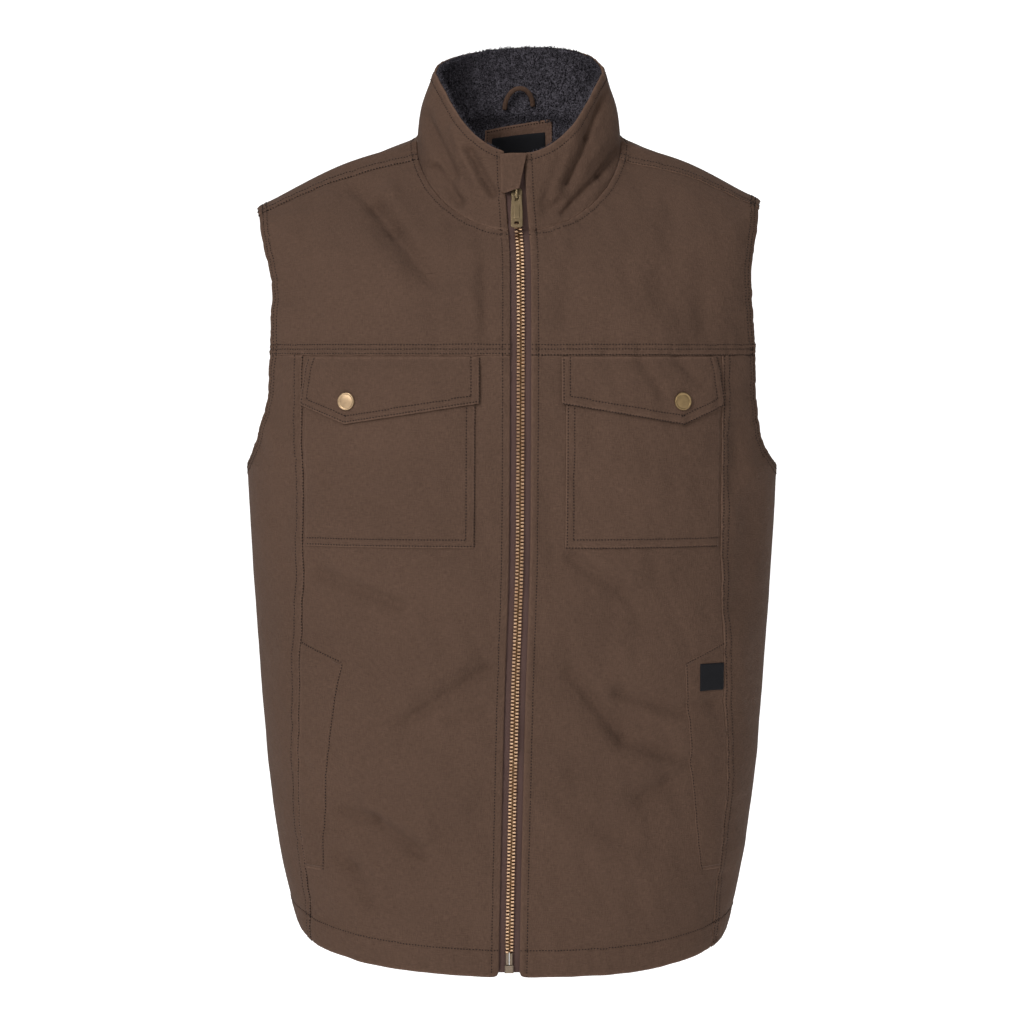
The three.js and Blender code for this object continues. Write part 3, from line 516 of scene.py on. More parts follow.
def make_seams(sign):
    """The seams and edges of one side of the body."""
    below = np.linspace(HEM, YOKE, 400)
    front = np.linspace(HEM, NECK, 500)
    edge = np.linspace(UNDERARM, SHOULDER_TIP, 500)
    over = np.linspace(SHOULDER_SEAM_END, NECK, 200)
    lower = body_ring(below)
    front_edge = site_on(BODY, edge, sign * armhole_angle(sign, edge))
    back_edge = site_on(BODY, edge[::-1], sign * armhole_angle(sign, edge[::-1], True))
    across = np.linspace(opening_angle(sign, YOKE), sign * armhole_angle(sign, YOKE), 300)
    return {
        "zip": body_seam(front, opening_angle(sign, front)),
        "princess": body_seam(below, front_angle(lower, sign * lower["seam"])),
        "back_princess": body_seam(below, back_angle(lower, sign * lower["back_seam"])),
        "hem": body_seam(HEM, np.linspace(opening_angle(sign, HEM), sign * math.pi, 500)),
        "yoke": body_seam(YOKE, across),
        "back_yoke": body_seam(YOKE, sign * np.linspace(armhole_angle(sign, YOKE, True), math.pi, 300)),
        "armhole": Seam(*(np.concatenate(pair) for pair in zip(front_edge, back_edge))),
        "shoulder": body_seam(over, sign * SHOULDER_SEAM_ANGLE),
        "neck": body_seam(NECK, np.linspace(opening_angle(sign, NECK), sign * math.pi, 400)),
    }


SEAMS = {sign: make_seams(sign) for _, sign in SIDES}

# Laps: width and rise of the raised lap, how far its edge rolls in, and the stitch rows' distances from it
OPENING_LAP = (7.5, 0.5, 0.9, (6.6,))
HEM_LAP = (26, 0.5, 0.9, (25,))
SIDE_LAP = (9.5, 0.4, 0.3, (2.6, 8.6))
ARMHOLE_LAP = (11, 0.45, 0.9, (5.4, 10))
YOKE_LAP = (10.6, 0.6, 0.4, (1.4, 5.3, 9.4))
NECK_LAP = (6.6, 0.8, 0.5, (5.6,))
SHOULDER_LAP = (9, 0.6, 0.1, (2, 7.6))
COLLAR_TOP_LAP = (7.5, 0.5, 0.9, (6.8,))
COLLAR_FRONT_LAP = (7.5, 0.4, 0.9, (6.6,))


def no_lap(roll):
    """An edge that only rolls in."""
    return (0, 0, roll, ())


# Piece, seam and lap
LAPS = (
    ("front_panel", "zip", OPENING_LAP),
    ("front_panel", "princess", no_lap(0.5)),
    ("front_panel", "hem", HEM_LAP),
    ("front_panel", "yoke", no_lap(0.4)),
    ("side_panel", "princess", SIDE_LAP),
    ("side_panel", "back_princess", SIDE_LAP),
    ("side_panel", "armhole", ARMHOLE_LAP),
    ("side_panel", "hem", HEM_LAP),
    ("side_panel", "yoke", no_lap(0.15)),
    ("side_panel", "back_yoke", no_lap(0.15)),
    ("front_yoke", "zip", OPENING_LAP),
    ("front_yoke", "yoke", YOKE_LAP),
    ("front_yoke", "armhole", ARMHOLE_LAP),
    ("front_yoke", "neck", NECK_LAP),
    ("front_yoke", "shoulder", no_lap(0.05)),
    ("back_yoke", "back_yoke", YOKE_LAP),
    ("back_yoke", "armhole", ARMHOLE_LAP),
    ("back_yoke", "neck", NECK_LAP),
    ("back_yoke", "shoulder", SHOULDER_LAP),
    ("back_panel", "back_princess", no_lap(0.15)),
    ("back_panel", "hem", HEM_LAP),
    ("back_panel", "back_yoke", no_lap(0.15)),
)
LAP_STEP = dict(before=0.5, after=1.8)  # where a lap ends, beside its width
ROLL_REACH = 1.5
GROOVE = dict(depth=0.5, reach=0.9)
PUCKER = dict(height=0.25, reach=7.0, widening=0.25, middle=0.6,
              waves=((0.62, 0.4), (0.41, 2.1), (0.97, 4.4), (0.23, 1.3)))
FAR = 1e3


def relief(points, laps):
    """Height of the laps, rolled edges, stitch grooves and puckers, and the distance to the nearest edge."""
    height = np.zeros(len(points))
    edge = np.full(len(points), FAR)
    for seam, width, rise, roll, rows in laps:
        away, along = seam.near(points)
        edge = np.minimum(edge, away)
        if width:
            height += rise * (1 - smoothstep(away, width - LAP_STEP["before"], width + LAP_STEP["after"]))
            wave = sum(np.sin(number * along + phase) for number, phase in PUCKER["waves"])
            reach = PUCKER["reach"] + width * PUCKER["widening"]
            height += PUCKER["height"] * wave * np.exp(-(((away - width * PUCKER["middle"]) / reach) ** 2))
        height -= roll * np.exp(-((away / ROLL_REACH) ** 2))
        for row in rows:
            height -= GROOVE["depth"] * np.exp(-(((away - row) / GROOVE["reach"]) ** 2))
    return height, edge


# Meshes


def put_in_scene(name, data):
    made = bpy.data.objects.new(name, data)
    bpy.context.scene.collection.objects.link(made)
    return made


def finish_piece(name, mesh, node_names, body="vest"):
    """Puts a mesh in the scene as a piece that rides on a body and stands for some solids."""
    piece = put_in_scene(name + "_fine", mesh)
    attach(piece, body)
    if node_names:
        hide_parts(*node_names)
    return piece


def new_mesh(name, points, faces, materials):
    """A smooth mesh from points in millimetres."""
    mesh = bpy.data.meshes.new(name)
    mesh.from_pydata((np.asarray(points) * MM).tolist(), [], faces)
    mesh.polygons.foreach_set("use_smooth", np.ones(len(mesh.polygons), bool))
    for material in materials:
        mesh.materials.append(material)
    return mesh


def tube_faces(rings, sides):
    """The four-cornered faces between rings of points."""
    beside = [(k, (k + 1) % sides) for k in range(sides)]
    return [[j * sides + k, j * sides + after, (j + 1) * sides + after, (j + 1) * sides + k]
            for j in range(rings - 1) for k, after in beside]


def block_faces():
    """The faces of three rings of four points, closed at both ends."""
    return tube_faces(3, 4) + [[3, 2, 1, 0], [8, 9, 10, 11]]


def repeat_faces(faces, size, count):
    """The same faces for each of several equal sets of points."""
    starts = np.arange(count) * size
    made = np.array(faces)
    return (made[None] + starts[:, None, None]).reshape(-1, made.shape[1]).tolist()


WELD = 40  # points nearer than a fortieth of a millimetre become one
THINNEST = 0.6
# Reach of the paler band along edges and seams: worn cloth and a painted highlight on folded edges
EDGE_WEAR_AND_HIGHLIGHT_REACH = 1.4


class Cloth:
    """A wall of cloth made of grids of sites whose borders join."""

    def __init__(self, name):
        self.name = name
        self.points = []
        self.normals = []
        self.uv = []
        self.quads = []
        self.count = 0
        self.flat = [0, 0]

    def add(self, points, normals):
        rows, columns = points.shape[:2]
        ids = np.arange(rows * columns).reshape(rows, columns) + self.count
        quads = np.stack([ids[:-1, :-1], ids[:-1, 1:], ids[1:, 1:], ids[1:, :-1]], -1).reshape(-1, 4)
        j, i = rows // 2, columns // 2
        facing = np.cross(points[j, i] - points[j, i - 1], points[j, i] - points[j - 1, i]) @ normals[j, i]
        self.quads.append(quads if facing > 0 else quads[:, ::-1])
        across = lengths_along(points.transpose(1, 0, 2)).T
        upward = lengths_along(points)
        self.flat[0] = max(self.flat[0], across.max())
        self.flat[1] += upward.max()
        self.uv.append(np.stack([across, upward], -1).reshape(-1, 2))
        self.points.append(points.reshape(-1, 3))
        self.normals.append(normals.reshape(-1, 3))
        self.count += rows * columns

    def build(self, wall, laps, materials):
        """Welds the grids, raises the relief on the outer face and closes the wall."""
        every_point = np.concatenate(self.points)
        keys = np.round(every_point * WELD).astype(int)
        _, first, ids = np.unique(keys, axis=0, return_index=True, return_inverse=True)
        ids = ids.reshape(-1)
        points = every_point[first]
        normals = np.concatenate(self.normals)[first]
        height, edge = relief(points, laps)
        outer = points + normals * height[:, None]
        inner = points + normals * np.minimum(height - THINNEST, -wall)[:, None]
        count = len(points)
        faces, corners = [], []
        for quad in np.concatenate(self.quads).tolist():
            kept = []
            for corner in quad:
                if not any(ids[corner] == ids[other] for other in kept):
                    kept.append(corner)
            if len(kept) > 2:
                faces.append([int(ids[corner]) for corner in kept])
                corners.append(kept)
        edges = {(face[k - 1], face[k]): (loop[k - 1], loop[k])
                 for face, loop in zip(faces, corners) for k in range(len(face))}
        sides = [(pair, loop) for pair, loop in edges.items() if (pair[1], pair[0]) not in edges]
        under = [[count + corner for corner in reversed(face)] for face in faces]
        rims = [[b, a, count + a, count + b] for (a, b), _ in sides]
        loops = corners + [list(reversed(loop)) for loop in corners] + [[b, a, a, b] for _, (a, b) in sides]
        mesh = new_mesh(self.name, np.concatenate([outer, inner]), faces + under + rims, materials)
        layer = mesh.uv_layers.new(name="cloth")
        places = np.concatenate(self.uv)[np.concatenate([np.array(loop) for loop in loops])]
        layer.data.foreach_set("uv", (places * MM).ravel())
        index = np.zeros(len(mesh.polygons), np.int32)
        if len(materials) > 1:
            index[len(faces) : 2 * len(faces)] = 1
        mesh.polygons.foreach_set("material_index", index)
        # Nearness to an edge, for the paler band there: wear and a painted highlight
        edge_wear_and_highlight = mesh.attributes.new("edge", "FLOAT", "POINT")
        edge_wear_and_highlight.data.foreach_set("value", np.tile(np.exp(-((edge / EDGE_WEAR_AND_HIGHLIGHT_REACH) ** 2)), 2).astype(np.float32))
        self.tree = BVHTree.FromPolygons(outer.tolist(), faces)
        self.area = sum_area(outer, faces)
        return mesh

    def finish(self, wall, laps, materials, slot):
        """Makes the piece."""
        mesh = self.build(wall, laps, materials)
        piece = finish_piece(self.name, mesh, [self.name])


def sum_area(points, faces):
    quads = np.array([face if len(face) == 4 else face + face[-1:] for face in faces])
    a, b, c, d = (points[quads[:, k]] for k in range(4))
    return float(np.linalg.norm(np.cross(c - a, d - b), axis=1).sum() / 2)


# Stitches
STITCH = dict(pitch=2.8, length=1.6, radius=0.72, lift=0.1)
STITCH_RINGS = ((-1, 0.5, 0.35), (0, 1, 0), (1, 0.5, 0.35))  # shares of half the length and radius, and sink
TACK_PITCH = 1.0
FEWEST_STITCHES = 3
SHORTEST_RUN = 8  # points of a seam
ON_CLOTH = 3.5  # a stitch line further off the cloth than this is left out
ROW_SLACK = 0.7  # a row may be this much nearer to another edge than to its own


class Thread:
    """Collects the stitches of one part of the vest."""

    def __init__(self):
        self.centres = []
        self.along = []
        self.normals = []

    def add_line(self, points, tree, is_tack=False):
        """Stitches along a line, laid on a piece's outer face; the stitches of a bar tack lie across it."""
        pitch = TACK_PITCH if is_tack else STITCH["pitch"]
        run = np.arange(pitch / 2, lengths_along(points)[-1], pitch)
        places = along_line(points, run, points)
        found = [tree.find_nearest(place) for place in places.tolist()]
        if len(found) < FEWEST_STITCHES:
            return
        on_cloth = np.array([hit[0][:] for hit in found])
        normals = np.array([hit[1][:] for hit in found])
        along = unit(np.gradient(on_cloth, axis=0))
        self.centres.append(on_cloth)
        self.normals.append(normals)
        self.along.append(unit(np.cross(along, normals)) if is_tack else along)

    def add_rows(self, cloth, seams, rows):
        """Rows of stitches at distances from seams or edges, on the side where the cloth lies."""
        for row in rows:
            for seam in seams:
                aside = unit(np.cross(np.gradient(seam.points, axis=0), seam.normals))
                lines = [seam.points + sign * row * aside for sign in (1, -1)]
                fits = [np.array([cloth.tree.find_nearest(place)[3] < ON_CLOTH for place in line.tolist()])
                        for line in lines]
                side = int(fits[1].sum() > fits[0].sum())
                clear = fits[side]
                for other in seams:
                    clear &= other.near(lines[side])[0] > row - ROW_SLACK
                self.add_runs(lines[side], clear, cloth.tree)

    def add_laps(self, cloth, laps):
        for seam, *_, rows in laps:
            self.add_rows(cloth, [seam], rows)

    def add_runs(self, line, clear, tree):
        """The parts of a line that are clear, each sewn by itself."""
        ends = np.flatnonzero(np.diff(np.concatenate([[0], clear.astype(int), [0]])))
        for start, end in zip(ends[::2], ends[1::2]):
            if end - start > SHORTEST_RUN:
                self.add_line(line[start:end], tree)

    def build(self, name, material):
        centres = np.concatenate(self.centres)
        along = np.concatenate(self.along)
        normals = np.concatenate(self.normals)
        aside = unit(np.cross(along, normals))
        normals = np.cross(aside, along)
        half = STITCH["length"] / 2
        radius = STITCH["radius"]
        middle = centres + normals * STITCH["lift"]
        rings = []
        for share, size, sink in STITCH_RINGS:
            ring_middle = middle + along * half * share - normals * sink
            for turn in (0.25, 0.75, 1.25, 1.75):
                out = aside * math.cos(turn * math.pi) + normals * math.sin(turn * math.pi)
                rings.append(ring_middle + out * radius * size)
        points = np.stack(rings, 1).reshape(-1, 3)
        faces = repeat_faces(block_faces(), len(rings), len(centres))
        finish_piece(name, new_mesh(name, points, faces, [material]), ())


# Materials


class Shader:
    """A node material with a principled surface, built up node by node."""

    def __init__(self, name, colour, roughness, specular=0.5, metallic=0.0):
        self.material = bpy.data.materials.new(name)
        self.material.use_nodes = True
        self.tree = self.material.node_tree
        self.tree.nodes.clear()
        self.surface = self.tree.nodes.new("ShaderNodeBsdfPrincipled")
        output = self.tree.nodes.new("ShaderNodeOutputMaterial")
        self.tree.links.new(self.surface.outputs["BSDF"], output.inputs["Surface"])
        self.colour = (*colour, 1)
        self.surface.inputs["Base Color"].default_value = self.colour
        self.surface.inputs["Roughness"].default_value = roughness
        self.surface.inputs["Specular IOR Level"].default_value = specular
        self.surface.inputs["Metallic"].default_value = metallic

    def node(self, kind, links=(), **values):
        made = self.tree.nodes.new(kind)
        for name, value in values.items():
            setattr(made, name, value)
        for socket, source in dict(links).items():
            if hasattr(source, "is_output"):
                self.tree.links.new(source, made.inputs[socket])
            else:
                made.inputs[socket].default_value = source
        return made

    def cloth_place(self, scale):
        uv = self.node("ShaderNodeUVMap", uv_map="cloth").outputs["UV"]
        return self.node("ShaderNodeMapping", {"Vector": uv, "Scale": scale}).outputs["Vector"]

    def object_place(self):
        return self.node("ShaderNodeTexCoord").outputs["Object"]

    def noise(self, place, scale, detail=2.0):
        links = {"Vector": place, "Scale": scale, "Detail": detail}
        return self.node("ShaderNodeTexNoise", links).outputs["Fac"]

    def math(self, operation, a, b):
        return self.node("ShaderNodeMath", {0: a, 1: b}, operation=operation).outputs["Value"]

    def ramp(self, value, low, high):
        """A value from 0 to 1 put between two others."""
        links = {"Value": value, "To Min": low, "To Max": high}
        return self.node("ShaderNodeMapRange", links).outputs["Result"]

    def shade(self, factor):
        """Multiplies the colour by a factor."""
        links = {"Color": self.colour, "Value": factor}
        hue = self.node("ShaderNodeHueSaturation", links)
        self.tree.links.new(hue.outputs["Color"], self.surface.inputs["Base Color"])

    def bump(self, height, strength, distance):
        links = {"Height": height, "Strength": strength, "Distance": distance}
        made = self.node("ShaderNodeBump", links)
        self.tree.links.new(made.outputs["Normal"], self.surface.inputs["Normal"])


CANVAS_COLOUR = (0.0739, 0.0434, 0.0302)
# The neck patch's canvas is painted about 1.45 times lighter than the rest: painted light inside the neck
PATCH_COLOUR_PAINTED_LIGHT = (0.108, 0.063, 0.045)
LINING_COLOUR = (0.0475, 0.0435, 0.0515)
TAPE_COLOUR = (0.076, 0.045, 0.039)
LABEL_COLOUR = (0.006, 0.006, 0.0075)
THREAD_COLOUR = (0.015, 0.0085, 0.0062)
TACK_COLOUR = (0.085, 0.05, 0.035)
TOOTH_COLOUR = (0.62, 0.41, 0.26)
# The tongues are brass painted dark, as painted shade in the middle of the chain
TONGUE_SHADED_COLOUR = (0.16, 0.09, 0.045)
# Snaps: one brass, the snap on the wearer's right painted lighter and the one on the left darker, as painted
# light and shade
SNAP_LIT_AND_SHADED_COLOUR = {-1: (0.4, 0.28, 0.17), 1: (0.26, 0.18, 0.09)}
OLD_BRASS_COLOUR = (0.19, 0.14, 0.08)
NICKEL_COLOUR = (0.2, 0.155, 0.115)


# Looks: the scales of the patterns, the range of shades they make, and the strength and depth of their bumps
# The canvas is painted paler along its edges, from wear and as a painted highlight
CANVAS_LOOK = dict(roughness=0.95, specular=0.12, across=1000, along=180, shades=(0.4, 1.6), cloud=16.0,
                   cloud_shades=(0.88, 1.12), rubbed_and_highlight=1.4, crumple=90.0, weave_share=0.3, bump=(0.6, 0.003))
PILE_LOOK = dict(roughness=1.0, specular=0.1, tips=700.0, shades=(-1.5, 3.7), bump=(0.6, 0.001))
TAPE_LOOK = dict(roughness=0.9, specular=0.12, ribs=0.35, shades=(0.75, 1.2), bump=(0.5, 0.0003))
LABEL_LOOK = dict(roughness=0.8, specular=0.15, ribs=0.5, shades=(0.8, 1.3), bump=(0.4, 0.0002))
THREAD_LOOK = dict(roughness=0.8, specular=0.2, twist=900.0, shades=(0.7, 1.3))
METAL_LOOK = dict(patches=260.0, shades=(0.7, 1.25), bump=(0.08, 0.0004))
PER_MM = 1000


def canvas_material(name, colour):
    """Heavy plain-woven cotton with uneven threads, paler along its edges and seams: partly worn, partly a
    painted highlight on the folded edges.
    """
    look = CANVAS_LOOK
    shader = Shader(name, colour, look["roughness"], look["specular"])
    warp = shader.noise(shader.cloth_place((look["across"], look["along"], 1)), 1.0, 3)
    weft = shader.noise(shader.cloth_place((look["along"], look["across"], 1)), 1.0, 3)
    threads = shader.math("ADD", warp, weft)
    cloud = shader.noise(shader.object_place(), look["cloud"], 6)
    uneven = shader.ramp(shader.math("MULTIPLY", threads, 0.5), *look["shades"])
    faded = shader.math("MULTIPLY", uneven, shader.ramp(cloud, *look["cloud_shades"]))
    # Paler near edges and seams: wear and a painted highlight on the folded edges
    edge = shader.node("ShaderNodeAttribute", attribute_name="edge").outputs["Fac"]
    shader.shade(shader.math("MULTIPLY", faded, shader.ramp(edge, 1, look["rubbed_and_highlight"])))
    crumple = shader.noise(shader.object_place(), look["crumple"], 4)
    weave = shader.math("MULTIPLY", threads, look["weave_share"])
    shader.bump(shader.math("ADD", weave, crumple), *look["bump"])
    return shader.material


def pile_material():
    """Curly charcoal pile, with paler and darker tips."""
    shader = Shader("pile", LINING_COLOUR, PILE_LOOK["roughness"], PILE_LOOK["specular"])
    tips = shader.noise(shader.object_place(), PILE_LOOK["tips"], 2)
    shader.shade(shader.ramp(tips, *PILE_LOOK["shades"]))
    shader.bump(tips, *PILE_LOOK["bump"])
    return shader.material


def ribbed_material(name, colour, look):
    """Woven tape or label with fine ribs across it."""
    shader = Shader(name, colour, look["roughness"], look["specular"])
    links = {"Vector": shader.cloth_place((PER_MM, PER_MM, 1)), "Scale": look["ribs"]}
    ribs = shader.node("ShaderNodeTexWave", links, bands_direction="Y").outputs["Fac"]
    shader.shade(shader.ramp(ribs, *look["shades"]))
    shader.bump(ribs, *look["bump"])
    return shader.material


def thread_material(name, colour):
    shader = Shader(name, colour, THREAD_LOOK["roughness"], THREAD_LOOK["specular"])
    twist = shader.noise(shader.object_place(), THREAD_LOOK["twist"])
    shader.shade(shader.ramp(twist, *THREAD_LOOK["shades"]))
    return shader.material


def metal_material(name, colour, roughness):
    """Metal with faint tarnish in patches."""
    shader = Shader(name, colour, roughness, metallic=1.0)
    patches = shader.noise(shader.object_place(), METAL_LOOK["patches"], 3)
    shader.shade(shader.ramp(patches, *METAL_LOOK["shades"]))
    shader.bump(patches, *METAL_LOOK["bump"])
    return shader.material


CANVAS = canvas_material("canvas", CANVAS_COLOUR)
# Lighter canvas for the neck patch: painted light
PATCH_CANVAS_PAINTED_LIGHT = canvas_material("patch", PATCH_COLOUR_PAINTED_LIGHT)
PILE = pile_material()
TAPE_CLOTH = ribbed_material("zip_tape", TAPE_COLOUR, TAPE_LOOK)
LABEL = ribbed_material("label", LABEL_COLOUR, LABEL_LOOK)
THREAD = thread_material("thread", THREAD_COLOUR)
TACK_THREAD = thread_material("tack_thread", TACK_COLOUR)
TOOTH_METAL = metal_material("tooth_brass", TOOTH_COLOUR, 0.3)
# Dark brass of the tongues: painted shade between the teeth
TONGUE_SHADED_METAL = metal_material("tongue_brass_painted_shade", TONGUE_SHADED_COLOUR, 0.45)
# The two snap brasses are lit and shaded copies of one brass: painted light and shade
SNAP_LIT_AND_SHADED_METAL = {sign: metal_material(f"snap_brass_painted_light_{side}", SNAP_LIT_AND_SHADED_COLOUR[sign], 0.45) for side, sign in SIDES}
OLD_BRASS = metal_material("old_brass", OLD_BRASS_COLOUR, 0.36)
NICKEL = metal_material("nickel", NICKEL_COLOUR, 0.42)

# Body panels


def laps_of(kind, signs):
    """The laps of a piece, from the table, on one or both sides of the vest."""
    return [(SEAMS[sign][seam], *lap) for piece, seam, lap in LAPS if piece == kind for sign in signs]


def front_grid(cloth, v, shares, sign, end_x):
    """A grid on the front between the zip edge and end_x; rings may bend along the shares."""
    ring = body_ring(v)
    x = lerp(ring["zip"] + sign * FRONT_OPENING, end_x(v, ring), shares[None])
    cloth.add(*site_on(BODY, v, front_angle(ring, x)))


def turn_grid(cloth, v, shares, start, end):
    """A grid on the body between two angles, each the same for every ring or given ring by ring."""
    start, end = (np.broadcast_to(angle, v.shape)[:, None] for angle in (start, end))
    cloth.add(*site_on(BODY, v[:, None], lerp(start, end, shares[None])))


def finish_panel(cloth, kind, signs, threads):
    """Makes a panel with its laps and sews their stitch rows."""
    laps = laps_of(kind, signs)
    cloth.finish(CANVAS_WALL, laps, [CANVAS, PILE], "canvas")
    threads.add_laps(cloth, laps)


def make_front_panel(side, sign, threads):
    cloth = Cloth(f"front_panel_{side}")
    v = spaced_rings(HEM, YOKE_BOTTOM, "front_panel", sign)[:, None]
    width = BODY_RINGS[HEM][RING_COLUMNS.index("seam")]
    shares = spaced(width, *FRONT_PANEL_ZONES)
    inside = np.minimum(shares * width, HEM_CORNER)
    corner = HEM_CORNER - np.sqrt(HEM_CORNER**2 - (HEM_CORNER - inside) ** 2)
    ring_step = BODY_RINGS[HEM + 1][0] - BODY_RINGS[HEM][0]
    rounded = lerp(corner[None] / ring_step, 0, np.minimum(1, v))
    front_grid(cloth, v + rounded, shares, sign, lambda v, ring: sign * (ring["seam"] - SEAM_GAP))
    finish_panel(cloth, "front_panel", (sign,), threads)


UNDERARM_ROWS = dict(count=52, power=1.5)  # closest together under the arm


def make_side_panel(side, sign, threads):
    cloth = Cloth(f"side_panel_{side}")

    def seam(v):
        ring = body_ring(v)
        return front_angle(ring, sign * (ring["seam"] + SEAM_GAP))

    def back_seam(v):
        ring = body_ring(v)
        return back_angle(ring, sign * (ring["back_seam"] + SEAM_GAP))

    low = spaced_rings(HEM, UNDERARM, "side_panel", sign, PLAIN)
    high = lerp(UNDERARM, YOKE_BOTTOM, np.linspace(0, 1, UNDERARM_ROWS["count"]) ** UNDERARM_ROWS["power"])
    front = spaced(*GRIDS["side_front"], PLAIN)
    back = spaced(*GRIDS["side_back"], PLAIN)
    middle = sign * math.pi / 2
    turn_grid(cloth, low, front, seam(low), middle)
    turn_grid(cloth, low, back, middle, back_seam(low))
    turn_grid(cloth, high, front, seam(high), sign * armhole_angle(sign, high))
    turn_grid(cloth, high, back, sign * armhole_angle(sign, high, True), back_seam(high))
    cloth.flat = [cloth.flat[0] * 2, cloth.flat[1] / 2]
    finish_panel(cloth, "side_panel", (sign,), threads)


# Rows along the shoulder seam, the same in the front and back yokes so that their edges match
TIP_ROWS = np.linspace(SHOULDER_SEAM_END, SHOULDER_TIP, 8)
SHOULDER_ROWS = spaced_rings(SHOULDER_TIP, NECK_EDGE, "shoulder", coarse=SHOULDER_CELL)
STRIP_COLUMNS = 18  # of the back yoke's strip in front of the shoulder line
MEASURE_ANGLE = dict(front=0.8, back=2.4)  # where the yokes' flat lengths are measured
MEASURE_STEPS = 200


def make_front_yoke(side, sign, threads):
    cloth = Cloth(f"front_yoke_{side}")

    def edge_x(v, ring):
        turn = np.minimum(armhole_angle(sign, v), SHOULDER_SEAM_ANGLE - SEAM_TURN)
        return ring_point(ring, sign * turn)[..., 0]

    low = spaced_rings(YOKE_TOP, SHOULDER_SEAM_END, "front_yoke", sign)
    rows = np.unique(np.concatenate([low, TIP_ROWS, SHOULDER_ROWS]))
    front_grid(cloth, rows[:, None], spaced(*GRIDS["front_yoke"]), sign, edge_x)
    up_the_front = site_on(BODY, rows, sign * MEASURE_ANGLE["front"])[0]
    cloth.flat = [SEAMS[sign]["yoke"].run[-1], lengths_along(up_the_front)[-1]]
    finish_panel(cloth, "front_yoke", (sign,), threads)


def make_back_yoke(threads):
    cloth = Cloth("back_yoke")
    strip = np.linspace(0, 1, STRIP_COLUMNS)
    back = spaced(*GRIDS["back_yoke"], PLAIN)
    below = spaced_rings(YOKE_TOP, SHOULDER_TIP, "back_yoke", coarse=PLAIN)
    seam = SHOULDER_SEAM_ANGLE + SEAM_TURN
    top = math.pi / 2
    for _, sign in SIDES:
        edge = np.maximum(armhole_angle(sign, TIP_ROWS), seam)
        turn_grid(cloth, TIP_ROWS, strip, sign * seam, sign * edge)
        turn_grid(cloth, SHOULDER_ROWS, strip, sign * seam, sign * top)
        turn_grid(cloth, below, back, sign * armhole_angle(sign, below, True), sign * math.pi)
        turn_grid(cloth, SHOULDER_ROWS, back, sign * top, sign * math.pi)
    up_the_back = site_on(BODY, np.linspace(YOKE_TOP, NECK_EDGE, MEASURE_STEPS), MEASURE_ANGLE["back"])[0]
    cloth.flat = [cloth.flat[0] * 2, lengths_along(up_the_back)[-1]]
    finish_panel(cloth, "back_yoke", (-1, 1), threads)


def make_back_panel(threads):
    cloth = Cloth("back_panel")
    v = spaced_rings(HEM, YOKE_BOTTOM, "back_panel", coarse=PLAIN)[:, None]
    ring = body_ring(v)
    shares = spaced(*GRIDS["back_panel"], PLAIN)[None]
    for _, sign in SIDES:
        x = lerp(sign * (ring["back_seam"] - SEAM_GAP), 0, shares)
        turn = np.where(x == 0, sign * math.pi, sign * (math.pi - np.abs(front_angle(ring, x))))
        cloth.add(*site_on(BODY, v, turn))
    cloth.flat = [cloth.flat[0] * 2, cloth.flat[1] / 2]
    finish_panel(cloth, "back_panel", (-1, 1), threads)


# Collar and linings


def collar_sites(v, shares, from_zip):
    v = v[:, None]
    ring = collar_ring(v)
    start = front_angle(ring, ring["zip"] + from_zip)
    end = 2 * math.pi + front_angle(ring, ring["zip"] - from_zip)
    return site_on(COLLAR, v, lerp(start, end, shares[None]))


COLLAR_START = 0.003  # rings above the neck seam
COLLAR_FOOT_ROLL = 0.15


def make_collar(threads):
    cloth = Cloth("collar")
    v = lerp(COLLAR_START, COLLAR_TOP, spaced(*GRIDS["collar_up"], COLLAR_CELL))
    points, normals = collar_sites(v, spaced(*GRIDS["collar_round"], COLLAR_CELL), FRONT_OPENING)
    cloth.add(points, normals)
    laps = [
        (Seam(points[-1], normals[-1]), *COLLAR_TOP_LAP),
        (Seam(points[:, 0], normals[:, 0]), *COLLAR_FRONT_LAP),
        (Seam(points[:, -1], normals[:, -1]), *COLLAR_FRONT_LAP),
        (Seam(points[0], normals[0]), *no_lap(COLLAR_FOOT_ROLL)),
    ]
    cloth.finish(COLLAR_WALL, laps, [CANVAS], "canvas")
    threads.add_laps(cloth, laps)


TUFT = dict(length=4.4, rim_length=4.6, radius=0.75, curl=0.9, droop=0.45, twist=2, lean=(0.25, 1.0),
            size=(0.6, 1.15), sides=3)
TUFT_RINGS = ((0, 1.0), (0.4, 0.85), (0.75, 0.55), (1.0, 0.2))  # share of the length, share of the radius
TUFT_SUNK = dict(collar=0.6, rim=1.2, neck=0.8)  # how deep the feet are in the cloth


def make_tufts(name, points, normals, length=TUFT["length"]):
    """Short curled tufts of pile that lean every way from their feet."""
    count = len(points)
    side_way = unit(np.cross(normals, rng.normal(size=(count, 3))))
    other_way = np.cross(normals, side_way)
    lean = rng.uniform(*TUFT["lean"], count)[:, None]
    size = rng.uniform(*TUFT["size"], count)[:, None]
    sides = TUFT["sides"]
    rings = []
    for share, width in TUFT_RINGS:
        bend = TUFT["curl"] * share * share * lean
        rise = share * (1 - TUFT["droop"] * share * lean)
        reach = normals * rise + side_way * bend + other_way * bend * (0.5 - share)
        middle = points + reach * length * size
        for k in range(sides):
            turn = 2 * math.pi * k / sides + share * TUFT["twist"]
            out = side_way * math.cos(turn) + other_way * math.sin(turn)
            rings.append(middle + out * TUFT["radius"] * width * size)
    made = np.stack(rings, 1).reshape(-1, 3)
    faces = repeat_faces(tube_faces(len(TUFT_RINGS), sides), len(rings), count)
    caps = repeat_faces([list(range(len(rings) - sides, len(rings)))], len(rings), count)
    finish_piece(name, new_mesh(name, made, faces + caps, [PILE]), ())


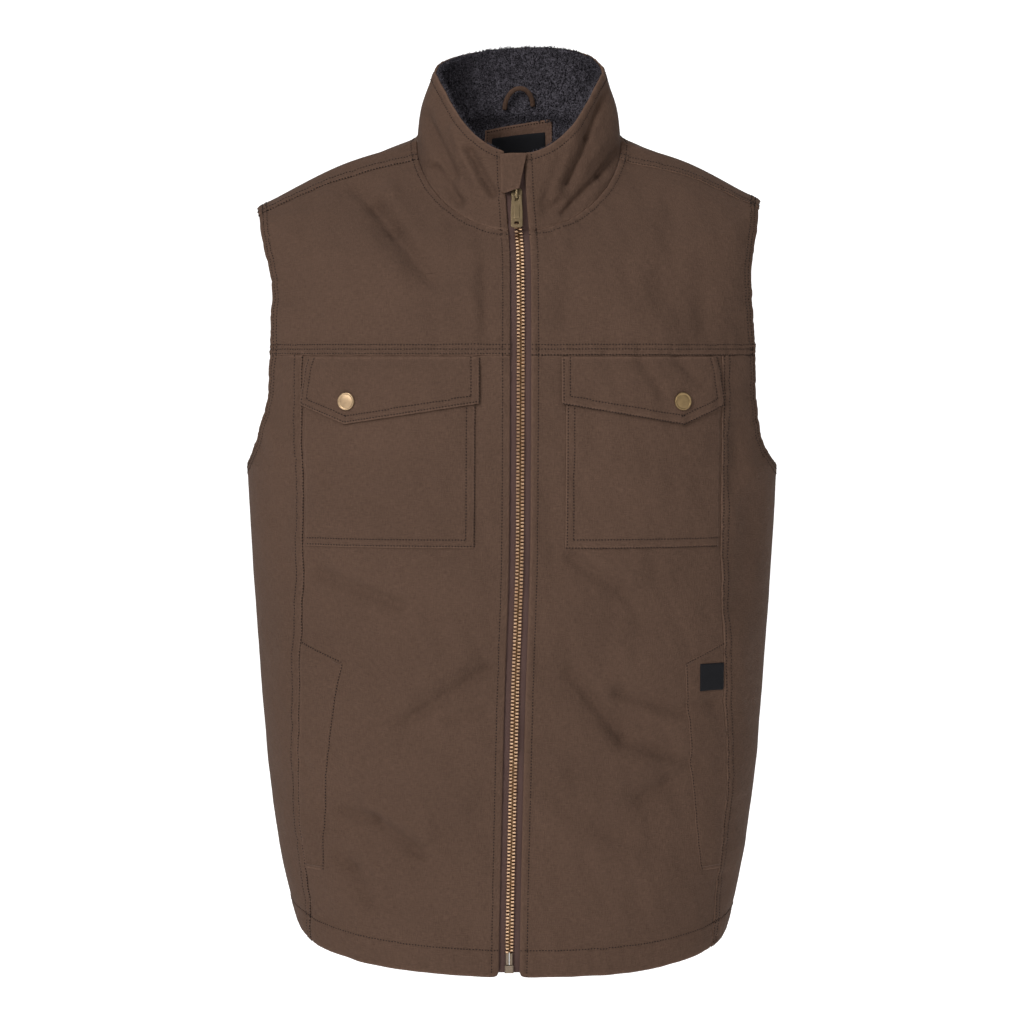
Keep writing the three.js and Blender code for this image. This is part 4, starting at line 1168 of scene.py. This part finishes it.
def scatter(points, normals, count):
    """Random places on a grid of sites."""
    rows, columns = points.shape[:2]
    j = rng.uniform(0, rows - 1.001, count)
    i = rng.uniform(0, columns - 1.001, count)
    low_j, low_i = j.astype(int), i.astype(int)
    share_j, share_i = (j - low_j)[:, None], (i - low_i)[:, None]

    def mix(values):
        low = lerp(values[low_j, low_i], values[low_j, low_i + 1], share_i)
        high = lerp(values[low_j + 1, low_i], values[low_j + 1, low_i + 1], share_i)
        return lerp(low, high, share_j)

    return mix(points), unit(mix(normals))


LINING_TUFTS = 7400
RIM_TUFTS = 1400
SEAM_TUFTS = 1700  # more along the lining's lower edge, over its seam
SEAM_ROWS = 4
NECK_TUFTS = 2500
PATCH_ROOM = 1  # tufts keep this far off the patch


def make_collar_lining():
    cloth = Cloth("collar_lining")
    face = -COLLAR_WALL - LAYER_GAP
    v = np.linspace(COLLAR_LINING["low"], COLLAR_TOP - COLLAR_LINING["below_top"], COLLAR_LINING["rows"])
    shares = np.linspace(0, 1, COLLAR_LINING["columns"])
    points, normals = collar_sites(v, shares, TAPE["reach"] + LAYER_GAP)
    cloth.add(points + normals * face, normals)
    cloth.finish(PILE_WALL, (), [PILE], "pile_lining")
    inside = points + normals * (face - PILE_WALL + TUFT_SUNK["collar"])
    feet, ways = scatter(inside, -normals, LINING_TUFTS)
    seam_feet, seam_ways = scatter(inside[:SEAM_ROWS], -normals[:SEAM_ROWS], SEAM_TUFTS)
    make_tufts("collar_pile", np.concatenate([feet, seam_feet]), np.concatenate([ways, seam_ways]))
    rim = np.stack([points[-1] + normals[-1] * (face - depth) for depth in (COLLAR_LINING["rim"], PILE_WALL)])
    upward = unit(points[-1] - points[-2])
    feet, ways = scatter(rim, np.stack([upward, unit(upward - normals[-1])]), RIM_TUFTS)
    make_tufts("collar_rim_pile", feet - ways * TUFT_SUNK["rim"], ways, TUFT["rim_length"])


LINING_FACE = -CANVAS_WALL - LAYER_GAP - PILE_WALL


def make_back_neck_lining():
    cloth = Cloth("back_neck_lining")
    v = np.linspace(NECK - BACK_LINING["rings"], NECK_EDGE - ring_gap(NECK), BACK_LINING["rows"])[:, None]
    turn = np.linspace(-BACK_LINING["half_angle"], BACK_LINING["half_angle"], BACK_LINING["columns"])[None]
    points, normals = site_on(BODY, v, math.pi - turn)
    cloth.add(points + normals * (LINING_FACE + PILE_WALL), normals)
    cloth.finish(PILE_WALL, (), [PILE], "pile_lining")
    feet, ways = scatter(points + normals * (LINING_FACE + TUFT_SUNK["neck"]), -normals, NECK_TUFTS)
    aside = feet[:, 0] - COLLAR_SHIFT
    below_top = NECK_PATCH["top_z"] + NECK_PATCH["tilt"] * aside - feet[:, 2]
    is_under_patch = (np.abs(aside) < NECK_PATCH["width"] / 2 + PATCH_ROOM) & (below_top > -PATCH_ROOM)
    make_tufts("back_neck_pile", feet[~is_under_patch], ways[~is_under_patch])


PATCH_ROLL = 0.6
EDGES = {"low": np.s_[0], "high": np.s_[-1], "near": np.s_[:, 0], "far": np.s_[:, -1]}


def make_patch(name, points, normals, wall, material, slot, roll=PATCH_ROLL, sewn=(), rows=(), threads=None):
    """A patch from a grid of its outer face, with stitch rows beside the edges that are sewn."""
    cloth = Cloth(name)
    cloth.add(points, normals)
    edges = {edge: Seam(points[place], normals[place]) for edge, place in EDGES.items()}
    laps = [(seam, 0, 0, roll, rows if edge in sewn else ()) for edge, seam in edges.items()]
    cloth.finish(wall, laps, [material], slot)
    if rows:
        threads.add_rows(cloth, [edges[edge] for edge in sewn], rows)
    return cloth


def make_neck_pieces(threads):
    face = LINING_FACE - LAYER_GAP
    table = (
        ("neck_patch", NECK_PATCH, face, PATCH_WALL, PATCH_CANVAS_PAINTED_LIGHT, "canvas", (2.0,)),
        ("neck_label", NECK_LABEL, face - PATCH_WALL - LAYER_GAP, LABEL_WALL, LABEL, "label", ()),
    )
    for name, sizes, height, wall, material, slot, rows in table:
        s = spaced(sizes["width"], *NECK_PATCH_ZONES)[None]
        t = spaced(sizes["height"], *NECK_PATCH_ZONES)[:, None]
        aside = (s - 0.5) * sizes["width"]
        z = sizes["top_z"] - (1 - t) * sizes["height"] + sizes["tilt"] * aside
        points, normals = site_at(BODY, COLLAR_SHIFT + aside, z, True)
        make_patch(name, points + normals * (height - wall), -normals, wall, material, slot,
                   sewn=tuple(EDGES), rows=rows, threads=threads)


def make_hang_loop():
    """A narrow folded strap, as an oval tube along an arch."""
    lining_y = COLLAR_RINGS[0][RING_COLUMNS.index("back_depth")] - COLLAR_WALL - LAYER_GAP - PILE_WALL
    foot_y = lining_y - LOOP["deep"] / 2 - LOOP["foot_gap"]
    arch = np.linspace(-math.pi / 2, math.pi / 2, LOOP["steps"])
    rise = np.cos(arch)
    aside = np.sin(arch) * LOOP["span"] / 2
    path = np.stack([COLLAR_SHIFT + aside, foot_y - LOOP["stand_off"] * rise,
                     LOOP["foot_z"] + LOOP["height"] * rise + LOOP["tilt"] * aside], -1)
    along = unit(np.gradient(path, axis=0))
    inward = np.tile([0.0, 1.0, 0.0], (len(path), 1))
    across = unit(np.cross(along, inward))
    deep = np.cross(across, along)
    sides = LOOP["sides"]
    turns = np.linspace(0, 2 * math.pi, sides, endpoint=False)
    half_across, half_deep = LOOP["across"] / 2, LOOP["deep"] / 2
    rings = [path + across * half_across * math.cos(turn) + deep * half_deep * math.sin(turn)
             for turn in turns]
    points = np.stack(rings, 1).reshape(-1, 3)
    caps = [list(range(sides))[::-1], list(range(len(points) - sides, len(points)))]
    faces = tube_faces(len(path), sides) + caps
    mesh = new_mesh("hang_loop", points, faces, [CANVAS])
    layer = mesh.uv_layers.new(name="cloth")
    spots = np.array([points[loop.vertex_index][[0, 2]] for loop in mesh.loops])
    layer.data.foreach_set("uv", (spots * MM).ravel())
    finish_piece("hang_loop", mesh, ["hang_loop"])


# Pockets


def hump(s):
    return np.sin(math.pi * s)


POCKET_ROWS = (1.8, 7.6)


def make_chest_pocket(side, sign, threads):
    s = spaced(*GRIDS["pocket_across"])[None]
    t = spaced(*GRIDS["pocket_up"])[:, None]
    z = lerp(POCKET["bottom_z"], POCKET["top_z"], t)
    ring = front_ring(z)
    x = lerp(ring["zip"] + sign * POCKET["from_zip"], sign * (ring["seam"] - POCKET["from_seam"]), s)
    points, normals = site_at(BODY, x, z + 0 * s)
    height = LAYER_GAP + POCKET["bulge"] * hump(s) * np.sin(math.pi / 2 * t) + PATCH_WALL
    face = points + normals * height[..., None]
    make_patch(f"chest_pocket_{side}", face, normals, PATCH_WALL, CANVAS, "canvas",
               sewn=("near", "low"), rows=POCKET_ROWS, threads=threads)


def flap_x(sign, share, t):
    ring = front_ring(FLAP["inner_z"])
    outer = ring["seam"] + FLAP["past_seam"] - FLAP["top_inset"] * t
    return lerp(ring["zip"] + sign * FLAP["from_zip"], sign * outer, share)


def flap_height(s, t):
    on_pocket = LAYER_GAP + PATCH_WALL + POCKET["bulge"] * hump(s)
    return LAYER_GAP + on_pocket * (1 - smoothstep(t, FLAP["down_from"], 1))


def make_pocket_flap(side, sign, threads):
    point_s = FLAP["point_share"]
    s = np.unique(np.concatenate([spaced(*GRIDS["flap_across"]), [point_s]]))[None]
    t = spaced(*GRIDS["flap_up"])[:, None]
    inner = lerp(FLAP["inner_z"], FLAP["point_z"], s / point_s)
    outer = lerp(FLAP["point_z"], FLAP["outer_z"], (s - point_s) / (1 - point_s))
    bottom = np.where(s < point_s, inner, outer)
    z = lerp(bottom, FLAP["top_z"], t)
    points, normals = site_at(BODY, flap_x(sign, s, t), z)
    lift = FLAP["lift"] * np.exp(-((t / FLAP["lift_share"]) ** 2))
    height = flap_height(s, t) + lift + PATCH_WALL
    face = points + normals * height[..., None]
    make_patch(f"pocket_flap_{side}", face, normals, PATCH_WALL, CANVAS, "canvas",
               sewn=("near", "low", "far"), rows=POCKET_ROWS, threads=threads)


WELT_WALL = 0.4
WELT_FACE = 0.4  # the welts lie almost flush
WELT_ROLL = 0.15
WELT_ROWS = (1.5,)
WELT_COLUMNS = 26
WELT_TACKS = ((-3, 0.02, 0.2), (3, 0.1, 0.95))  # row of the grid, shares of its width from and to


def make_welt(side, sign, threads, tacks):
    s = np.linspace(0, 1, WELT_COLUMNS)[None]
    t = spaced(*GRIDS["welt_up"])[:, None]
    z = lerp(WELT["bottom_z"], lerp(WELT["inner_top_z"], WELT["outer_top_z"], s), t)
    inner = lerp(WELT["inner_bottom_x"], WELT["inner_top_x"][sign], t ** WELT["bow"][sign])
    x = sign * lerp(inner, front_ring(z)["seam"] - WELT["from_seam"], s)
    points, normals = site_at(BODY, x, z)
    cloth = make_patch(f"hand_pocket_welt_{side}", points + normals * WELT_FACE, normals, WELT_WALL, CANVAS,
                       "canvas", WELT_ROLL, ("near", "high"), WELT_ROWS, threads)
    last = WELT_COLUMNS - 1
    for row, start, end in WELT_TACKS:
        columns = slice(round(start * last), round(end * last) + 1)
        tacks.add_line(points[row, columns], cloth.tree, True)


LABEL_ROLL = 0.3


def make_pocket_label():
    s = spaced(POCKET_LABEL["width"], *POCKET_LABEL_ZONES)[None]
    t = spaced(POCKET_LABEL["height"], *POCKET_LABEL_ZONES)[:, None]
    outer = front_ring(POCKET_LABEL["top_z"])["seam"] - POCKET_LABEL["from_seam"]
    x = outer - (1 - s) * POCKET_LABEL["width"]
    z = POCKET_LABEL["top_z"] - (1 - t) * POCKET_LABEL["height"]
    points, normals = site_at(BODY, x + 0 * t, z + 0 * s)
    face = WELT_FACE + LAYER_GAP + LABEL_WALL
    make_patch("pocket_label", points + normals * face, normals, LABEL_WALL, LABEL, "label", LABEL_ROLL)


# Zip


TAPE_GRID = dict(rows=260, columns=9)


def make_tape(side, sign):
    aside = np.linspace(TAPE["middle_gap"], TAPE["reach"], TAPE_GRID["columns"])[None] * sign
    z = np.linspace(TAPE["bottom_z"], TAPE["top_z"], TAPE_GRID["rows"])[:, None]
    points, normals = zip_site(aside, z)
    wall = TAPE["outer"] - TAPE["inner"]
    face = points + normals * TAPE["outer"]
    make_patch(f"zip_tape_{side}", face, normals, wall, TAPE_CLOTH, "zip_tape", 0)


def block_points(half_x, low_z, high_z, inner, outer, bevel):
    """A block with a bevelled outer face: x across, y out of the zip, z up it."""
    rings = ((inner, 0), (outer - bevel, 0), (outer, bevel))
    corners = ((-1, 0), (1, 0), (1, 1), (-1, 1))
    made = []
    for height, inset in rings:
        for sign_x, is_high in corners:
            z = high_z - inset if is_high else low_z + inset
            made.append((sign_x * (half_x - inset), height, z))
    return np.array(made)


TOOTH = dict(pitch=3.2, high=1.9, reach=3.6, across=3.0, bevel=0.5)
# The tongues' dark brass is painted shade between the teeth
TONGUE = dict(high=1.2, shift=-0.25, across=1.8, sunk=1.1, bevel=0.2)  # holds the teeth of the other side


def place_blocks(name, blocks, material, nodes=()):
    """Joins blocks that sit on the zip. Each has its height up the zip, its shift aside and its points."""
    z = np.array([block[0] for block in blocks])
    shift = np.array([block[1] for block in blocks])
    sites, normals = zip_site(0 * z, z)
    shapes = np.stack([block[2] for block in blocks])
    across = np.tile([1.0, 0.0, 0.0], (len(z), 1))
    upward = unit(np.cross(normals, across)) * -1
    upward *= np.sign(upward[:, 2:3])
    points = (sites[:, None] + across[:, None] * (shapes[..., :1] + shift[:, None, None])
              + normals[:, None] * shapes[..., 1:2] + upward[:, None] * shapes[..., 2:3]).reshape(-1, 3)
    faces = repeat_faces(block_faces(), shapes.shape[1], len(blocks))
    mesh = new_mesh(name, points, faces, [material])
    mesh.polygons.foreach_set("use_smooth", np.zeros(len(mesh.polygons), bool))
    finish_piece(name, mesh, nodes)


def make_zip_metal():
    half = TOOTH["across"] / 2
    heights = (CHAIN["inner"], CHAIN["outer"])
    tooth = block_points(half, -TOOTH["high"] / 2, TOOTH["high"] / 2, *heights, TOOTH["bevel"])
    low = TAPE["bottom_z"] + BOX["height"] + PIN["room"]
    tongue = block_points(TONGUE["across"] / 2, -TONGUE["high"] / 2, TONGUE["high"] / 2, CHAIN["inner"],
                          CHAIN["outer"] - TONGUE["sunk"], TONGUE["bevel"])
    teeth, tongues = [], []
    for number, z in enumerate(np.arange(low, CHAIN["top_z"], TOOTH["pitch"] / 2)):
        sign = 1 if number % 2 else -1
        teeth.append((z, sign * (TOOTH["reach"] - half), tooth))
        tongues.append((z, sign * TONGUE["shift"], tongue))
    place_blocks("zip_chain", teeth, TOOTH_METAL, ["zip_chain"])
    place_blocks("zip_tongues", tongues, TONGUE_SHADED_METAL)
    pin = block_points(PIN["width"] / 2, 0, PIN["length"], *heights, PIN["bevel"])
    pin_z = TAPE["bottom_z"] + BOX["height"] + SEAM_GAP
    place_blocks("zip_pins", [(pin_z, sign * PIN["aside"], pin) for sign in (-1, 1)], NICKEL)
    box = block_points(BOX["width"] / 2, 0, BOX["height"], BOX["inner"], BOX["outer"], BOX["bevel"])
    place_blocks("zip_box", [(TAPE["bottom_z"], 0, box)], NICKEL, ["zip_box"])


CORNER_POINTS = 7


def rounded_outline(low_x, low_z, high_x, high_z, radius):
    corners = ((high_x - radius, low_z + radius, -0.5), (high_x - radius, high_z - radius, 0.0),
               (low_x + radius, high_z - radius, 0.5), (low_x + radius, low_z + radius, 1.0))
    turns = np.linspace(0, 0.5, CORNER_POINTS) * math.pi
    return [(x + radius * math.cos(start * math.pi + turn), z + radius * math.sin(start * math.pi + turn))
            for x, z, start in corners for turn in turns]


def plate(outlines, inner, outer, bevel):
    """Points and faces of a plate with rounded edges, drawn by an outline and holes; y is its height."""
    curve = bpy.data.curves.new("plate", "CURVE")
    curve.dimensions = "2D"
    curve.fill_mode = "BOTH"
    curve.extrude = (outer - inner) / 2 - bevel
    curve.bevel_depth = bevel
    curve.bevel_resolution = 2
    curve.offset = -bevel
    for outline in outlines:
        spline = curve.splines.new("POLY")
        spline.points.add(len(outline) - 1)
        spline.points.foreach_set("co", [value for x, z in outline for value in (x, z, 0, 1)])
        spline.use_cyclic_u = True
    holder = bpy.data.objects.new("plate", curve)
    made = holder.to_mesh()
    flat = np.array([vertex.co[:] for vertex in made.vertices])
    faces = [list(polygon.vertices) for polygon in made.polygons]
    holder.to_mesh_clear()
    bpy.data.objects.remove(holder)
    bpy.data.curves.remove(curve)
    points = np.stack([flat[:, 0], flat[:, 2] + (inner + outer) / 2, flat[:, 1]], -1)
    return points, [face[::-1] for face in faces]


def join(parts):
    points, faces, count = [], [], 0
    for part_points, part_faces in parts:
        points.append(part_points)
        faces += [[count + corner for corner in face] for face in part_faces]
        count += len(part_points)
    return np.concatenate(points), faces


def slider_frame():
    """The slider's place on the zip, and how far the zip leans back there."""
    site, normal = zip_site(0.0, float(SLIDER["bottom_z"]))
    turn = math.atan2(-normal[2], -normal[1])
    return site, turn


def to_zip(points, site, turn):
    """Points in the slider's frame, with x across, y out of the zip and z up it, put in the vest's frame."""
    x, out, up = points.T
    y = -out
    return np.stack([site[0] + x, site[1] + y * math.cos(turn) - up * math.sin(turn),
                     site[2] + y * math.sin(turn) + up * math.cos(turn)], -1)


SHARP_TURN = math.radians(40)
SNAP_SHARP_TURN = math.radians(50)


def make_slider():
    site, turn = slider_frame()
    half = SLIDER["width"] / 2
    body = plate([rounded_outline(-half, 0, half, SLIDER["length"], SLIDER["corner"])],
                 SLIDER["inner"], SLIDER["outer"], SLIDER["bevel"])
    face, low = SLIDER["outer"], BRIDGE["from_bottom"]
    high = low + BRIDGE["length"]
    bar = BRIDGE["bar"]
    arch = [rounded_outline(face - BRIDGE["sunk"], low, face + BRIDGE["reach"], high, BRIDGE["corner"]),
            rounded_outline(face, low + bar, face + BRIDGE["reach"] - bar, high - bar, BRIDGE["corner"] / 2)]
    points, faces = plate(arch, -BRIDGE["width"] / 2, BRIDGE["width"] / 2, BRIDGE["bevel"])
    bridge = (np.stack([points[:, 1], points[:, 0], points[:, 2]], -1), [face[::-1] for face in faces])
    points, faces = join([body, bridge])
    mesh = new_mesh("zip_slider", to_zip(points, site, turn), faces, [OLD_BRASS])
    mesh.set_sharp_from_angle(angle=SHARP_TURN)
    finish_piece("zip_slider", mesh, ["zip_slider"])


def make_pull():
    site, turn = slider_frame()
    top = PULL["pin"] / 2
    bottom = top - PULL["length"]
    half = PULL["width"] / 2
    foot = [point for point in rounded_outline(-half, bottom, half, bottom + PULL["length"], PULL["corner"])
            if point[1] < bottom + PULL["length"] / 2]
    right = [point for point in foot if point[0] > 0]
    left = [point for point in foot if point[0] < 0]
    top_half, cut = PULL["top_width"] / 2, PULL["top_corner"]
    shoulder = [(half, bottom / 2), (top_half, top - cut), (top_half - cut, top)]
    outline = left + right + shoulder + [(-x, z) for x, z in reversed(shoulder)]
    window = PULL_WINDOW["width"] / 2
    slot_x, slot_z = PULL_SLOT["width"] / 2, PULL_SLOT["height"] / 2
    slot_middle = -PULL_SLOT["below_pin"]
    slot_corner = slot_z * PULL_SLOT["roundness"]
    holes = [rounded_outline(-window, -top - PULL_WINDOW["length"], window, -top, PULL_WINDOW["corner"]),
             rounded_outline(-slot_x, slot_middle - slot_z, slot_x, slot_middle + slot_z, slot_corner)]
    blank = plate([outline] + holes, -PULL["wall"] / 2, PULL["wall"] / 2, PULL["bevel"])
    band_half = PULL_BAND["width"] / 2
    band_outline = rounded_outline(-band_half, -PULL_BAND["bottom"], band_half, -PULL_BAND["top"],
                                   PULL_BAND["corner"])
    band = plate([band_outline], 0, PULL["wall"] / 2 + PULL_BAND["rise"], PULL["bevel"])
    points, faces = join([blank, band])
    lean = Matrix.Rotation(PULL["lean"], 3, "X")
    points = points @ np.array(lean).T
    height = SLIDER["outer"] + (BRIDGE["reach"] - BRIDGE["bar"]) / 2
    up = BRIDGE["from_bottom"] + BRIDGE["bar"] + PULL["pin"] * PULL["pin_turn"] + PULL["pin_gap"]
    mesh = new_mesh("zip_pull", to_zip(points + np.array([0, height, up]), site, turn), faces, [OLD_BRASS])
    mesh.set_sharp_from_angle(angle=SHARP_TURN)
    finish_piece("zip_pull", mesh, ["zip_pull"], "zip_pull")


def make_garage():
    s = spaced(*GRIDS["garage_across"])[None]
    t = spaced(*GRIDS["garage_up"])[:, None]
    low_z = GARAGE["bottom_z"] + GARAGE["bottom_rise"] * smoothstep(s, GARAGE["rise_from"], 1)
    z = lerp(low_z, GARAGE["top_z"], t)
    outer = lerp(GARAGE["outer_bottom"], GARAGE["outer_top"], t)
    points, normals = zip_site(lerp(GARAGE["inner"], outer, s), z)
    arch = GARAGE["arch"] * smoothstep(s, 0, GARAGE["arch_to"]) * (1 - GARAGE["arch_loss"] * t)
    height = LAYER_GAP + arch + PATCH_WALL
    make_patch("zip_garage", points + normals * height[..., None], normals, PATCH_WALL, CANVAS, "canvas")


# Snaps: distance from the axis as a share of the radius, height as a share of the height
SNAP_PROFILE = ((0, 0), (0.9, 0), (0.96, 0.06), (1, 0.3), (0.99, 0.55), (0.95, 0.8), (0.9, 0.9), (0.84, 0.86),
                (0.8, 0.74), (0.77, 0.7), (0.7, 0.74), (0.5, 0.82), (0.25, 0.86), (0, 0.87))


def make_snap(side, sign):
    x = flap_x(sign, SNAP["share"], 0)
    site, normal = site_at(BODY, x, FLAP["point_z"] + SNAP["above_point"])
    face = flap_height(SNAP["share"], 0) + PATCH_WALL + SNAP["stand_off"]
    aside = unit(np.cross(normal, [0.0, 0.0, 1.0]))
    upward = np.cross(aside, normal)
    sides = SNAP["sides"]
    turns = np.linspace(0, 2 * math.pi, sides, endpoint=False)[None, :, None]
    profile = np.array(SNAP_PROFILE)
    reach = (profile[:, 0] * SNAP["radius"])[:, None, None]
    height = (profile[:, 1] * SNAP["height"])[:, None, None]
    points = site + normal * (face + height) + (aside * np.cos(turns) + upward * np.sin(turns)) * reach
    faces = [[a, d, c, b] for a, b, c, d in tube_faces(len(profile), sides)]
    mesh = new_mesh(f"flap_snap_{side}", points.reshape(-1, 3), faces, [SNAP_LIT_AND_SHADED_METAL[sign]])
    mesh.set_sharp_from_angle(angle=SNAP_SHARP_TURN)
    finish_piece(f"flap_snap_{side}", mesh, [f"flap_snap_{side}"])


# Assembly


def make_vest():
    for side, sign in SIDES:
        threads = Thread()
        tacks = Thread()
        make_front_panel(side, sign, threads)
        make_side_panel(side, sign, threads)
        make_front_yoke(side, sign, threads)
        make_chest_pocket(side, sign, threads)
        make_pocket_flap(side, sign, threads)
        make_welt(side, sign, threads, tacks)
        make_snap(side, sign)
        make_tape(side, sign)
        threads.build(f"stitches_{side}", THREAD)
        tacks.build(f"tacks_{side}", TACK_THREAD)
    back_threads = Thread()
    make_back_yoke(back_threads)
    make_back_panel(back_threads)
    make_collar(back_threads)
    make_collar_lining()
    make_back_neck_lining()
    make_neck_pieces(back_threads)
    make_hang_loop()
    make_pocket_label()
    make_zip_metal()
    make_slider()
    make_pull()
    make_garage()
    back_threads.build("stitches_back", THREAD)


# Studio
CAMERA = dict(place=(0, -2945, -200), tilt=2.89, lens=109.375, sensor=36)
FLOOR_Z = -1500
BACKDROP = dict(half_width=16000, front=-12000, bend_start=6000, bend_radius=3000, height=12000, glow=0.7)
BACKDROP_COLOUR = (0.9, 0.9, 0.9)


def make_backdrop():
    """A pale floor that curves up into a pale wall."""
    shader = Shader("backdrop", BACKDROP_COLOUR, 0.95)
    shader.surface.inputs["Emission Color"].default_value = (1, 1, 1, 1)
    shader.surface.inputs["Emission Strength"].default_value = BACKDROP["glow"]
    turns = np.linspace(0, math.pi / 2, 24)
    radius = BACKDROP["bend_radius"]
    profile = [(BACKDROP["front"], FLOOR_Z)]
    profile += [(BACKDROP["bend_start"] + radius * math.sin(turn), FLOOR_Z + radius * (1 - math.cos(turn)))
                for turn in turns]
    profile.append((BACKDROP["bend_start"] + radius, BACKDROP["height"]))
    points = np.array([(sign * BACKDROP["half_width"], y, z) for y, z in profile for sign in (-1, 1)])
    faces = [[2 * k, 2 * k + 1, 2 * k + 3, 2 * k + 2] for k in range(len(profile) - 1)]
    mesh = new_mesh("backdrop", points, faces, [shader.material])
    put_in_scene("backdrop", mesh)


# Lights: name, place in metres, size in metres, power in watts
LIGHTS = (
    ("key", (-1.6, -2.7, 1.1), 0.8, 66),
    ("brow", (-1.0, -2.2, 2.4), 1.0, 28),
    ("fill", (2.0, -2.6, 0.6), 2.0, 10),
    ("top", (0.0, -0.4, 2.4), 1.6, 16),
)
AIM = (0, 0, -0.35)
WORLD = dict(light=0.24, seen=1.0)


def make_lights():
    for name, place, size, power in LIGHTS:
        light = bpy.data.lights.new(name, "AREA")
        light.size = size
        light.energy = power
        lamp = put_in_scene(name, light)
        lamp.location = place
        aim = np.array(AIM) - np.array(place)
        lamp.rotation_euler = Vector(aim).to_track_quat("-Z", "Y").to_euler()


def make_world():
    """A white surrounding that lights less than it shows."""
    world = bpy.data.worlds.new("studio")
    world.use_nodes = True
    background = world.node_tree.nodes["Background"]
    background.inputs["Color"].default_value = (1, 1, 1, 1)
    is_seen = world.node_tree.nodes.new("ShaderNodeLightPath").outputs["Is Camera Ray"]
    strength = world.node_tree.nodes.new("ShaderNodeMapRange")
    strength.inputs["To Min"].default_value = WORLD["light"]
    strength.inputs["To Max"].default_value = WORLD["seen"]
    world.node_tree.links.new(is_seen, strength.inputs["Value"])
    world.node_tree.links.new(strength.outputs["Result"], background.inputs["Strength"])
    bpy.context.scene.world = world


def make_camera():
    data = bpy.data.cameras.new("camera")
    data.lens = CAMERA["lens"]
    data.sensor_width = CAMERA["sensor"]
    camera = put_in_scene("camera", data)
    camera.location = [value * MM for value in CAMERA["place"]]
    camera.rotation_euler = (math.radians(90 - CAMERA["tilt"]), 0, 0)
    bpy.context.scene.camera = camera


make_vest()
make_backdrop()
make_lights()
make_world()
make_camera()
bpy.context.scene.view_settings.view_transform = "Standard"
